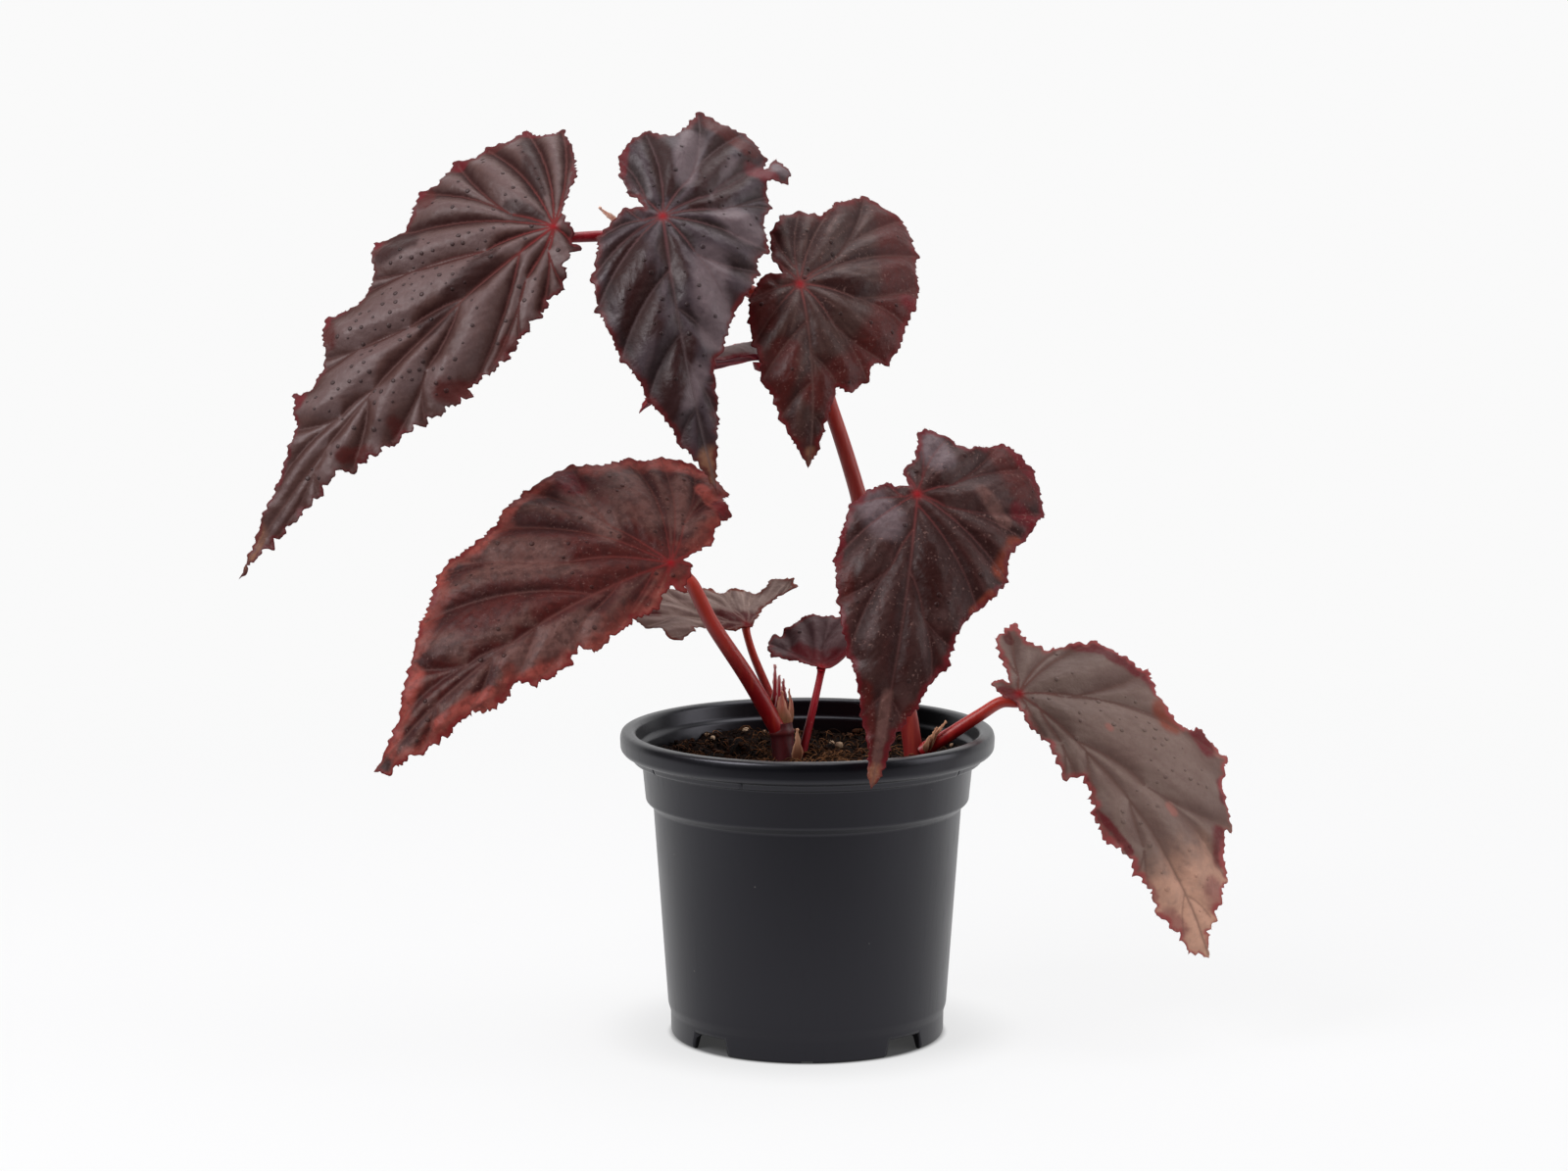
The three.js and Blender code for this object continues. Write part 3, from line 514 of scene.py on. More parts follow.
plainLook = {"marginWidth": 1.8, "edgingMost": 0.5, "mottle": 0.3, "rays": 0.4, "bloom": 0.5,
             "flecks": 0.0, "redVeins": 0.5, "dotShade": 0.6}  # for all that a look doesn't set
looks = {  # field is the blade, shade its mottling and the painted shade in its grooves, thread the veins and light the painted highlight on the tops of its cushions
    "taupe": {"field": "#4e3430", "shade": "#2c0a06", "thread": "#5e403c", "light": "#6a5656",
              "margin": "#54161a", "edging": "#4c1412", "marginWidth": 1.2, "edgingWidth": 2.6,
              "groove": 0.95, "rays": 0.15, "bloom": 0.6, "spots": 0.15, "redVeins": 0.8, "rough": 0.52,
              "sheen": 0.27},
    "charcoal": {"field": "#33262a", "shade": "#1e0d0c", "thread": "#5a4a4c", "light": "#4c4046",
                 "margin": "#541214", "edging": "#481416", "edgingWidth": 4, "edgingMost": 0.6,
                 "groove": 0.8, "mottle": 0.4, "bloom": 0.6, "flecks": 0.1, "spots": 0.2,
                 "redVeins": 0.45, "rough": 0.46, "sheen": 0.26},
    "umber": {"field": "#3a1c18", "shade": "#260e0c", "thread": "#5c413c", "light": "#463430",
              "margin": "#5c1416", "edging": "#4c1614", "marginWidth": 2.4, "edgingWidth": 6,
              "edgingMost": 0.7, "groove": 0.55, "mottle": 0.5, "rays": 0.5, "flecks": 0.6, "spots": 0.4,
              "redVeins": 0.6, "rough": 0.48, "sheen": 0.24},
    "maroon": {"field": "#481410", "shade": "#260807", "thread": "#5c3832", "light": "#644640",
               "margin": "#6c1a1a", "edging": "#9a483e", "edgingWidth": 7, "edgingMost": 0.9,
               "groove": 0.5, "mottle": 0.55, "bloom": 0.55, "flecks": 0.5, "spots": 0.7, "redVeins": 0.7,
               "dotShade": 0.5, "rough": 0.54, "sheen": 0.2},
    "wine": {"field": "#361816", "shade": "#240a08", "thread": "#5a3a38", "light": "#463230",
             "margin": "#5c1018", "edging": "#541418", "marginWidth": 2.2, "edgingWidth": 3,
             "edgingMost": 0.6, "groove": 0.55, "mottle": 0.5, "flecks": 0.7, "spots": 0.6,
             "dotShade": 0.3, "rough": 0.46, "sheen": 0.19},
    "clay": {"field": "#6a544d", "shade": "#5a423c", "thread": "#5c423a", "light": "#7e6a62",
             "margin": "#8c3a3a", "edging": "#8e4440", "edgingWidth": 2.6, "groove": 0.6, "mottle": 0.4,
             "flecks": 0.2, "spots": 0.3, "redVeins": 0.3, "dotShade": 0.15, "rough": 0.6, "sheen": 0.3},
    "pale": {"field": "#98807a", "shade": "#6c564e", "thread": "#c4aea4", "light": "#ae988e",
             "margin": "#7a3226", "edging": "#7a3c30", "marginWidth": 1.0, "edgingWidth": 2,
             "groove": 0.4, "mottle": 0.2, "rays": 0.75, "bloom": 0.4, "spots": 0.0, "dotShade": 0,
             "rough": 0.55, "sheen": 0.1},
    "plum": {"field": "#563c3e", "shade": "#341a1c", "thread": "#46282a", "light": "#6c5456",
             "margin": "#6a1418", "edging": "#5c1418", "marginWidth": 1.4, "edgingWidth": 2.4,
             "edgingMost": 0.7, "groove": 0.5, "bloom": 0.3, "flecks": 0.1, "spots": 0.2, "redVeins": 0.8,
             "dotShade": 0.5, "rough": 0.5, "sheen": 0.15},
    "ash": {"field": "#5c4c4c", "shade": "#3c2624", "thread": "#7a6666", "light": "#746462",
            "margin": "#8a1a2c", "edging": "#8a1a2c", "marginWidth": 1.6, "edgingWidth": 2.4,
            "edgingMost": 0.7, "groove": 0.4, "bloom": 0.3, "spots": 0.0, "dotShade": 0, "rough": 0.5,
            "sheen": 0.12},
}
# pale and dusty are painted highlights and dark is painted shade; the others are the blades' own colours
patchPaints = {"pale": "#66565a", "straw": "#c0927c", "maroon": "#481410", "dark": "#280a07",
               "coral": "#90423a", "dusty": "#65443f", "rose": "#8a5850", "ember": "#783220",
               "crimson": "#5a0410", "tan": "#8c5f48", "soot": "#160c0b"}
leafPaints = {"fleck": "#886660", "wart": "#200d0c", "hair": "#5c181a", "star": "#86000e",
              "belly": "#6a1022", "bellyShade": "#400812", "bellyVein": "#b4565c"}


def leafFinish(look):
    def sockets(bench):
        share, rimGap, vein, rays, under = map(bench.attribute, ("share", "rimGap", "vein", "rays", "under"))
        mottle, grain, fine = bench.cloud(7, 4), bench.cloud(1.2, 3), bench.cloud(2.6, 3)
        ridge = share + fine * 0.16 - 0.08  # 0 in a groove, 0.5 on top of a cushion
        # painted shade: the grooves between the cushions are darkened, most near the star, where the blade is
        # also darker
        groove = (1 - bench.ease(ridge, 0.05, 0.34)) * (bench.attribute("deep") * look["groove"] + 0.3)
        wide = look["edgingWidth"]
        edging = 1 - bench.ease(rimGap + mottle * (2.4 * wide) - 1.2 * wide, 0.1 * wide, wide)
        edging = edging * (bench.ease(mottle + fine * 0.5, 0.6, 0.9) * 0.6 + 0.4)
        margin = 1 - bench.ease(rimGap + mottle * 6 - 3, 0, look["marginWidth"])
        fleck = bench.ease(bench.cloud(1.0, 2), 0.58, 0.74) * bench.ease(mottle, 0.42, 0.58)
        red = bench.most(bench.attribute("star"), bench.attribute("redVein") * look["redVeins"])
        ragged = mottle * 1.6 + fine - 0.3
        layers = [
            (look["shade"], bench.ease(mottle, 0.38, 0.66) * look["mottle"]),
            (look["thread"], bench.ease(rays, -0.1, 0.9) * look["rays"]),
            # painted highlight: the tops of the cushions are lightened with the light paint, as strongly as
            # the look's bloom
            (look["light"], bench.ease(ridge, 0.24, 0.47) * look["bloom"]),
            (look["shade"], bench.ease(0 - rays, 0, 0.9) * look["rays"] * 0.7),
            (look["shade"], bench.ease(grain, 0.35, 0.7) * 0.12),
            (look["shade"], groove),
            (look["edging"], edging * look["edgingMost"]),
        ]
        # the patches, painted highlights and painted shade among them
        for kind, code in patchPaints.items():
            layers.append((code, bench.ease(bench.attribute(kind) * ragged, 0.1, 0.9) * 0.88))
        layers += [
            (look["shade"], bench.ease(fine, 0.42, 0.64) * look["spots"] * 0.6),
            (look["margin"], margin * 0.85),
            (leafPaints["fleck"], fleck * look["flecks"] * 0.6),
            (look["thread"], vein * 0.6),
            (leafPaints["wart"], bench.attribute("wart") * look["dotShade"]),
            (leafPaints["hair"], bench.attribute("hair") * 0.9),
            (leafPaints["star"], red * 0.95),
        ]
        above = bench.coat(look["field"], layers)
        below = bench.coat(leafPaints["belly"], [
            (leafPaints["bellyShade"], bench.ease(mottle, 0.3, 0.7) * 0.6),
            (leafPaints["bellyVein"], vein * 0.85)])
        rough = look["rough"] + grain * 0.16 + mottle * 0.2 - 0.2 + groove * 0.26 + under * 0.12
        return {"Base Color": bench.blend(under, above, below), "Roughness": rough,
                "Normal": bench.bump(grain * 0.55 + fine * 0.45, 0.3, 0.85),
                "Specular IOR Level": look["sheen"], "Specular Tint": (1.0, 0.95, 0.98, 1.0)}
    return sockets


def bladeForm(leaf):  # how the flat blade is carried through space, as in the CAD
    at, tip, face = (np.array(leaf[k], float) for k in ("at", "tip", "face"))
    length = np.linalg.norm(tip - at)
    chord = (tip - at) / length
    face = unit(face - chord * (face @ chord))
    middle = (at + tip) / 2 + face * 2 * leaf["bow"] + np.cross(face, chord) * 2 * leaf["sweep"]
    fold = math.radians(leaf["fold"])

    def place(flat, lift):
        x, y = flat[:, 0], flat[:, 1]
        t = np.maximum(0, x / length)[:, None]
        ahead = unit((1 - t) * (middle - at) + t * (tip - middle))
        up = unit(face - ahead * (ahead @ face)[:, None])
        side = np.cross(up, ahead)
        droop = (leaf["curl"] * y * y + np.where(x < 0, leaf["back"] * x * x, 0)) / leaf["width"]
        point = (1 - t) ** 2 * at + 2 * t * (1 - t) * middle + t * t * tip
        point = point + ahead * np.minimum(x, 0)[:, None] + side * (y * math.cos(fold))[:, None]
        return point + up * (np.abs(y) * math.sin(fold) - droop + lift)[:, None]

    return place, length


def toothedSide(leaf, side, length, rng):  # one margin from the notch to the tip, with its teeth
    corners = np.array([leaf["notch"], *leaf[side], (length, 0)], float)
    rounded = smoothPath(corners, 8)
    steps = np.linspace(0, 1, 8, endpoint=False)[:, None]
    straight = [a + (b - a) * steps for a, b in zip(corners, corners[1:])] + [corners[-1:]]
    path = rounded + (np.concatenate(straight) - rounded) * blade["cornering"]
    path = resample(path, blade["marginStep"])
    ahead = unit(np.gradient(path, axis=0))
    outward = np.stack([-ahead[:, 1], ahead[:, 0]], -1) * (1 if side == "left" else -1)
    run = np.arange(len(path)) * blade["marginStep"]
    bounds = [0.0]
    while bounds[-1] < run[-1] + 9:
        bounds.append(bounds[-1] + blade["toothPitch"] * rng.uniform(*blade["toothPitches"]))
    bounds = np.array(bounds)
    tooth = np.searchsorted(bounds, run, "right") - 1
    phase = (run - bounds[tooth]) / (bounds[tooth + 1] - bounds[tooth])
    rise = (phase / blade["toothRise"]) ** blade["toothBow"]
    saw = np.where(phase < blade["toothRise"], rise, (1 - phase) / blade["toothFall"])
    depth = leaf["teeth"] * blade["toothDepth"] * rng.uniform(*blade["toothDepths"], len(bounds))[tooth]
    fade = np.clip(np.minimum(run, run[-1] - run) / blade["tipFade"], 0, 1)
    points = np.linalg.norm(path[:, None] - corners[None, 1:-1:2], axis=2).min(1)
    wander = 0.15 * np.sin(run * 0.3)  # keeps the zigzag from being even
    zigzag = np.abs((run / blade["jagPitch"] + wander) % 1 - 0.35) / 0.65
    jag = leaf["jag"][side == "right"] * (0.5 - zigzag) * blade["jagDepth"]
    lobe = leaf["teeth"] * blade["lobe"] * np.exp(-(points / blade["lobeReach"]) ** 2)
    push = (saw - 0.4) * depth + jag + lobe - 0.35  # the listed margin stays in the middle of the teeth
    return uncross(path + outward * (push * fade)[:, None])


def uncross(path):  # cuts off the small loops where a margin runs over itself
    i = 0
    kept = [path[0]]
    while i < len(path) - 1:
        a, b = path[i], path[i + 1]
        ahead = range(min(i + 24, len(path) - 2), i + 1, -1)
        hit = next((j for j in ahead if geometry.intersect_line_line_2d(a, b, path[j], path[j + 1])), None)
        i = i + 1 if hit is None else hit + 1
        kept.append(path[i])
    return np.array(kept)


def veinNet(leaf, length, rng):  # the midrib, then trunks that fork on their way to the lobes
    lines = [(np.stack([np.linspace(0, length - veins["short"], 60), np.zeros(60)], -1), 1.0)]
    for side in ("left", "right"):
        ends = [np.array(p, float) for p in leaf[side][0::2]]
        feet = np.maximum.accumulate([max(0.0, p[0] - leaf["rake"] * abs(p[1])) for p in ends])
        i = 0
        while i < len(ends):
            paired = i + 1 < len(ends) and rng.random() < veins["paired"]
            group = ends[i:i + 2] if paired else ends[i:i + 1]
            foot = np.array([feet[i], 0.0])
            reach = np.mean([np.linalg.norm(e - foot) for e in group])
            if reach > veins["shortest"]:
                fork = foot + (np.mean(group, axis=0) - foot) * rng.uniform(*veins["fork"])
                fork += np.array([veins["lean"], 0.0]) * reach
                bow, girth = veins["trunk" if paired else "lone"]
                lines.append((arc(foot, fork if paired else group[0], bow), girth))
                if paired:
                    bow, girth = veins["branch"]
                    lines += [(arc(fork, end, bow * turn), girth) for end, turn in zip(group, (-1, 1))]
            i += len(group)
    return lines


def arc(start, end, bend):  # a shallow bow from start to end, short of the margin
    run = end - start
    end = end - unit(run) * min(1.2, 0.1 * np.linalg.norm(run))
    middle = (start + end) / 2 + np.array([-run[1], run[0]]) * bend * np.sign(start[1] + end[1] + 1e-6)
    t = np.linspace(0, 1, max(4, round(np.linalg.norm(run) / 3)))[:, None]
    return (1 - t) ** 2 * start + 2 * t * (1 - t) * middle + t * t * end


def sideVeins(lines, rng):  # creases that leave the veins at a slant and stop short of the next one
    pitch = veins["step"]
    paths = [resample(line, pitch) for line, girth in lines]
    owner = np.repeat(np.arange(len(paths)), [len(path) for path in paths])
    every = treeOf(np.concatenate(paths))
    made = []
    for number, path in enumerate(paths):
        for turn in (-1, 1):
            spot = rng.uniform(3, 6)
            while spot < len(path) - 3:
                k = int(spot)
                ahead = unit(path[k + 1] - path[k])
                slant = turn * math.radians(rng.uniform(*veins["slant"]))
                away = np.array([ahead[0] * math.cos(slant) - ahead[1] * math.sin(slant),
                                 ahead[0] * math.sin(slant) + ahead[1] * math.cos(slant)])
                crease = [path[k]]
                for step in np.arange(pitch, min(veins["creaseReach"], 3 + 0.5 * k), pitch):
                    here = path[k] + away * step + ahead * veins["creaseBow"] * step * step
                    near = every.find((*here, 0))
                    if step > 2 and near[2] < veins["creaseGap"] and owner[near[1]] != number:
                        break
                    crease.append(here)
                if len(crease) > 2:
                    made.append(np.array(crease))
                spot += blade["creasePitch"] / pitch * rng.uniform(0.7, 1.3)
    return made


def latticeIn(outline, pitch):  # staggered rows of points inside a closed outline
    starts, ends = outline, np.roll(outline, -1, 0)
    kept = []
    for row, y in enumerate(np.arange(outline[:, 1].min(), outline[:, 1].max(), pitch * 0.87)):
        crosses = (starts[:, 1] > y) != (ends[:, 1] > y)
        low, high = starts[crosses], ends[crosses]
        bounds = np.sort(low[:, 0] + (high - low)[:, 0] * (y - low[:, 1]) / (high - low)[:, 1])
        x = np.arange(outline[:, 0].min() + (row % 2) * pitch / 2, outline[:, 0].max(), pitch)
        x = x[np.searchsorted(bounds, x) % 2 == 1]
        kept.append(np.stack([x, np.full(len(x), y)], -1))
    return np.concatenate(kept)


def areInside(points, outline):
    low, high = outline[None], np.roll(outline, -1, 0)[None]
    x, y = points[:, None, 0], points[:, None, 1]
    crosses = (low[..., 1] > y) != (high[..., 1] > y)
    rise = np.where(crosses, high[..., 1] - low[..., 1], 1)
    bounds = low[..., 0] + (high - low)[..., 0] * (y - low[..., 1]) / rise
    return ((bounds > x) & crosses).sum(1) % 2 == 1


def nearestIn(tree, points):
    return np.array([tree.find((x, y, 0))[2] for x, y in points])


def treeOf(points):
    tree = kdtree.KDTree(len(points))
    for i, (x, y) in enumerate(points):
        tree.insert((x, y, 0), i)
    tree.balance()
    return tree


def triangulate(outline, threads, pitch):  # a flat sheet with the veins and the margin as its edges
    rim = treeOf(np.concatenate([outline, (outline + np.roll(outline, -1, 0)) / 2]))
    count = len(outline)
    spots = [outline]
    edges = [(i, (i + 1) % count) for i in range(count)]
    for thread in threads:
        kept = (nearestIn(rim, thread) > pitch * 0.45) & areInside(thread, outline)
        if kept.any():
            spots.append(thread[kept])
            rank = count + np.cumsum(kept) - 1
            edges += [(rank[i], rank[i + 1]) for i in range(len(thread) - 1) if kept[i] and kept[i + 1]]
            count += int(kept.sum())
    taken = treeOf(np.concatenate([*spots, (outline + np.roll(outline, -1, 0)) / 2]))
    lattice = latticeIn(outline, pitch)
    spots.append(lattice[nearestIn(taken, lattice) > pitch * 0.55])
    flat = [Vector(p) for p in np.concatenate(spots)]
    edges = [(int(a), int(b)) for a, b in edges]
    made = geometry.delaunay_2d_cdt(flat, edges, [], 0, 1e-4, True)
    flat = np.array([tuple(p) for p in made[0]])
    onRim = np.array([not origin or min(origin) < len(outline) for origin in made[3]])
    triangles = np.array(made[2])
    spare = onRim[triangles].any(1)  # only these can lie outside
    spare[spare] = ~areInside(flat[triangles[spare]].mean(1), outline)
    triangles = triangles[~spare]
    used = np.unique(triangles)
    renumber = np.zeros(len(flat), int)
    renumber[used] = np.arange(len(used))
    flat, triangles = flat[used], renumber[triangles]
    legs = flat[triangles[:, 1]] - flat[triangles[:, 0]], flat[triangles[:, 2]] - flat[triangles[:, 0]]
    turned = legs[0][:, 0] * legs[1][:, 1] - legs[0][:, 1] * legs[1][:, 0] < 0
    triangles[turned] = triangles[turned][:, ::-1]
    return flat, triangles


def relax(values, triangles, fixed):  # evens out a field over the mesh, but for the fixed points
    pairs = np.concatenate([triangles[:, [0, 1]], triangles[:, [1, 2]], triangles[:, [2, 0]]])
    pairs = np.concatenate([pairs, pairs[:, ::-1]])
    count = np.bincount(pairs[:, 0], minlength=len(values))
    for _ in range(blade["smoothing"]):
        around = np.bincount(pairs[:, 0], values[pairs[:, 1]], len(values)) / count
        values = np.where(fixed, values, 0.4 * values + 0.6 * around)
    return values


def openEdges(triangles, count):  # the edges that only one triangle uses
    pairs = np.concatenate([triangles[:, [0, 1]], triangles[:, [1, 2]], triangles[:, [2, 0]]])
    free = ~np.isin(pairs[:, 0] * count + pairs[:, 1], pairs[:, 1] * count + pairs[:, 0])
    return pairs[free]


def bladeMesh(name, leaf, number):
    rng = np.random.default_rng(40 + number)
    place, length = bladeForm(leaf)
    sides = [toothedSide(leaf, side, length, rng) for side in ("left", "right")]
    outline = np.concatenate([sides[0][:-1], sides[1][:0:-1]])
    lines = veinNet(leaf, length, rng)
    creases = sideVeins(lines, rng)
    pitch = blade["pitch"]
    flat, triangles = triangulate(outline, [resample(line, pitch) for line, girth in lines], pitch)
    total = len(flat)

    near = np.stack([distanceTo(flat, line) for line, girth in lines])
    order = np.partition(near, 1, axis=0)
    spacing = order[0] + order[1]
    share = order[0] / np.maximum(spacing, 1e-6)
    toEdge = nearestIn(treeOf(resample(np.concatenate([outline, outline[:1]]), 0.3)), flat)
    swell = np.minimum(blade["pillow"] * spacing, blade["pillowMost"])
    height = leaf["relief"] * swell * np.sin(math.pi * share)
    height *= 0.45 + 0.55 * smoothStep(toEdge, 0, 9)
    height = relax(height, triangles, order[0] < 0.05)
    crease = nearestIn(treeOf(np.concatenate([resample(line, 0.5) for line in creases])), flat)
    ribs = (1 - np.exp(-(crease / 1.2) ** 1.5)) * smoothStep(order[0], 0.2, 2.5) * smoothStep(toEdge, 0, 4)
    lift = height + blade["creaseDepth"] * leaf["ribs"] * ribs
    fromStar = smoothStep(np.linalg.norm(flat, axis=1), 1.5, 9)
    lift += (blade["grainHeight"] * ripple(flat, blade["grainSize"], number)
             + fromStar * blade["swayHeight"] * ripple(flat, blade["swaySize"], number + 3)
             + blade["starLift"] * (1 - fromStar))
    wave = blade["waveHeight"] * ripple(flat, blade["waveSize"], number + 9)
    lift += wave * np.exp(-toEdge / blade["waveReach"])
    girths = np.array([girth for line, girth in lines])[:, None]
    vein = (np.exp(-(near / (veins["width"] * girths)) ** 2) * girths).max(0)
    lift += blade["cord"] * vein
    thin = blade["rimThickness"]
    thickness = thin + (blade["thickness"] - thin) * smoothStep(toEdge, 0, 4)
    away = np.linalg.norm(flat, axis=1)
    top = place(flat, lift + thickness / 2)
    bottom = place(flat, lift - thickness / 2)

    rim = openEdges(triangles, total)
    faces = [*triangles, *(triangles[:, ::-1] + total)]
    faces += [(a, a + total, b + total, b) for a, b in rim]
    pull = np.zeros((total, 2))
    run = flat[rim[:, 1]] - flat[rim[:, 0]]
    for k in (0, 1):
        np.add.at(pull, rim[:, k], np.stack([run[:, 1], -run[:, 0]], -1))
    onRim = np.zeros(total, bool)
    onRim[rim.ravel()] = True
    outward = np.zeros((2 * total, 3))
    beyond = place(flat[onRim] + unit(pull[onRim]), lift[onRim])
    outward[:total][onRim] = unit(beyond - place(flat[onRim], lift[onRim]))
    mesh = meshOf(name, np.concatenate([top, bottom]), faces, materials[leaf["look"]])

    def twice(values):
        return np.concatenate([values, values])

    star = np.exp(-(away / blade["starRadius"]) ** 2)
    redVein = np.clip(vein * np.exp(-away / (blade["redReach"] * length)), 0, 1)
    # painted shade in the grooves, strongest near the star
    deep = np.exp(-(away / (blade["shadeNearStarReach"] * length)) ** 2)
    turn = np.arctan2(flat[:, 1], flat[:, 0])
    rays = ripple(np.stack([turn * 16, away * 0.09], -1), 1, number + 20)  # streaks out from the star
    fields = {kind: np.zeros(total) for kind in patchPaints}
    for kind, spots in leaf["patches"].items():
        for x0, y0, x1, y1, radius in spots:
            reach = distanceTo(flat, np.array([(x0, y0), (x1 + 0.01, y1)], float)) / radius
            fields[kind] = np.maximum(fields[kind], 1 - smoothStep(reach, 0.2, 1.8))
    none = np.zeros(total)
    warts = leaf["dots"] * smoothStep(share, 0.34, 0.46) * smoothStep(toEdge, 2, 4)
    storeValues(
        mesh, share=twice(share), vein=twice(vein), star=twice(star), redVein=twice(redVein),
        deep=twice(deep), rays=twice(rays), rimGap=twice(np.minimum(toEdge, 30)),
        under=np.concatenate([none, np.ones(total)]), wartField=np.concatenate([warts, none]),
        rimPoint=np.concatenate([onRim, none]), outward=outward,
        **{kind: twice(field) for kind, field in fields.items()})
    return mesh


def dressTree():  # bristles along the margin and warts on the cushions of a blade
    bench = newTree("dressBlade", {"Bristle length": "Float", "Wart size": "Float", "Wart gap": "Float",
                                   "Wart density": "Float", "Seed": "Int", "Material": "Material"})
    given = bench.node("NodeGroupInput")
    blades = given.output("Geometry")

    def marked(mesh, name):
        return bench.node("GeometryNodeStoreNamedAttribute", {"domain": "POINT"},
                          {"Geometry": mesh, "Name": name, "Value": 1.0})

    spike = marked(bench.node("GeometryNodeMeshCone", {"fill_type": "NGON"}, {
        "Vertices": 4, "Radius Bottom": 0.075, "Radius Top": 0.0, "Depth": 1.0}), "hair")
    wobble = bench.node("FunctionNodeRandomValue", {"data_type": "FLOAT_VECTOR"},
                        {0: (-0.4, -0.4, -0.4), 1: (0.4, 0.4, 0.4), 8: given.output("Seed")})
    aim = bench.vector("ADD", {0: bench.stored("outward", "FLOAT_VECTOR"), 1: wobble})
    turned = bench.node("FunctionNodeAlignRotationToVector", {"axis": "Z"}, {"Vector": aim})
    seed = given.output("Seed")
    picked = (bench.stored("rimPoint") > 0.5) * (bench.chance(0.0, 1.0, seed + 3) > 0.45)
    hairSize = given.output("Bristle length") * bench.chance(0.4, 1.15, seed + 5)
    hairs = bench.node("GeometryNodeInstanceOnPoints", None, {
        "Points": blades, "Selection": picked, "Instance": spike, "Rotation": turned, "Scale": hairSize})
    domes = marked(bench.node("GeometryNodeMeshIcoSphere", None, {"Radius": 1.0, "Subdivisions": 2}), "wart")
    spread = bench.node("GeometryNodeDistributePointsOnFaces", {"distribute_method": "POISSON"}, {
        "Mesh": blades, "Distance Min": given.output("Wart gap"), "Density Max": given.output("Wart density"),
        "Density Factor": bench.stored("wartField"), "Seed": seed})
    flatten = bench.node("ShaderNodeCombineXYZ", None, {"X": 1.0, "Y": 1.0, "Z": 0.32})
    wartSize = given.output("Wart size") * bench.chance(0.6, 1.3, seed + 9)
    wartScale = bench.vector("SCALE", {0: flatten, "Scale": wartSize})
    warts = bench.node("GeometryNodeInstanceOnPoints", None, {
        "Points": spread, "Instance": domes, "Rotation": spread.output("Rotation"), "Scale": wartScale})
    joined = bench.tree.nodes.new("GeometryNodeJoinGeometry")
    for part in (warts, hairs, blades):
        bench.tree.links.new(part.socket, joined.inputs[0])
    whole = bench.node("GeometryNodeRealizeInstances", None, {"Geometry": Wire(bench, joined.outputs[0])})
    bench.deliver(whole, given.output("Material"))
    return bench


def camelName(*words):
    return words[0] + "".join(part.title() for word in words[1:] for part in word.split("_"))


def makeMaterials(kind, finish, kinds):  # one material for each look
    return {name: makeMaterial(camelName(kind, name), finish(look)) for name, look in kinds.items()}


materials = makeMaterials("leaf", leafFinish, {name: {**plainLook, **look} for name, look in looks.items()})
dress = dressTree()
for number, (name, leaf) in enumerate(leaves.items()):
    label = camelName("blade", name)
    mesh = grow(label, bladeMesh(label, leaf, number), dress, {
        "Bristle length": blade["bristle"] * mm, "Wart size": blade["wart"] * mm,
        "Wart gap": blade["wartGap"] * mm, "Wart density": blade["wartDensity"],
        "Seed": 11 + number, "Material": materials[leaf["look"]]})
    addPiece(label, mesh, leaf["slot"], f"blade_{name}")


stems = {
    "sides": 20,
    "taper": (1.15, 0.85),
    "step": 0.8,
    "flare": 0.35,  # where it meets the blade
    "flareReach": 1.6,
    "gap": 0.25,  # between its end and the middle of the blade
    "swell": 0.55,  # at the nodes of a cane, whose places run from 0 to 1
    "swellReach": 0.018,
    "scar": 0.2,
    "scarReach": 0.004,
    "speckPaint": "#d8a090",
}

canes = {
    "cane_tall": {
        "path": [(37.6, 1, 62), (36.8, 0, 98.8), (26.8, 2, 149.5), (18, 6, 186.5), (7, 12, 220.6),
                 (-3.1, 18, 244.9), (-20.1, 20, 257.6), (-42.1, 18, 266.2), (-58.8, 14, 273.3)],
        "radius": (3.6, 2.1), "nodes": (0.3, 0.48, 0.66, 0.8, 0.92), "slot": "cane", "look": "cane",
    },
    "cane_short": {
        "path": [(-6.8, -7, 66), (-7.6, -6.4, 92), (-9.2, -5, 110.1)],
        "radius": (4, 4), "nodes": (0.93,), "slot": "stub", "look": "stub",
    },
}

stemLooks = {
    "cane": {"low": "#86221f", "high": "#a8362c", "lee": "#640c14", "ring": "#5a3024", "streak": "#b04c3a",
             "rough": 0.42},
    "stub": {"low": "#3c040c", "high": "#46060e", "lee": "#28050a", "ring": "#5c1c1a", "streak": "#641820",
             "rough": 0.45},
    "petiole": {"low": "#8a0a12", "high": "#d0402e", "lee": "#700612", "ring": "#5a1a14", "streak": "#b83c28",
                "rough": 0.38},
    "shadow": {"low": "#780818", "high": "#a81022", "lee": "#580412", "ring": "#5a1a14", "streak": "#b4303c",
               "rough": 0.38},
}


def stemFinish(look):
    def sockets(bench):
        along, ring = bench.attribute("along"), bench.attribute("ring")
        streaks = bench.cloud(2.2, 3, (1, 1, 0.12))
        grain = bench.cloud(0.8, 2)
        colour = bench.coat(look["low"], [
            (look["high"], bench.ease(along, 0.2, 0.95)),
            (look["streak"], bench.ease(streaks, 0.45, 0.75) * 0.45),
            # painted shade on the stem's lower side, over its deeper red underside
            (look["lee"], bench.ease(bench.attribute("lee"), 0.45, 1.0) * 0.7),
            (look["ring"], ring * 0.7),
            (stems["speckPaint"], bench.specks(1.6, 0.2, 0.08) * 0.35)])
        relief = streaks * 0.7 + grain * 0.3
        return {"Base Color": colour, "Roughness": look["rough"] + grain * 0.1, "Specular IOR Level": 0.5,
                "Normal": bench.bump(relief, 0.2, 0.5), "Subsurface Weight": 0.25,
                "Subsurface Radius": (1.0, 0.25, 0.15), "Subsurface Scale": 1.5 * mm}
    return sockets


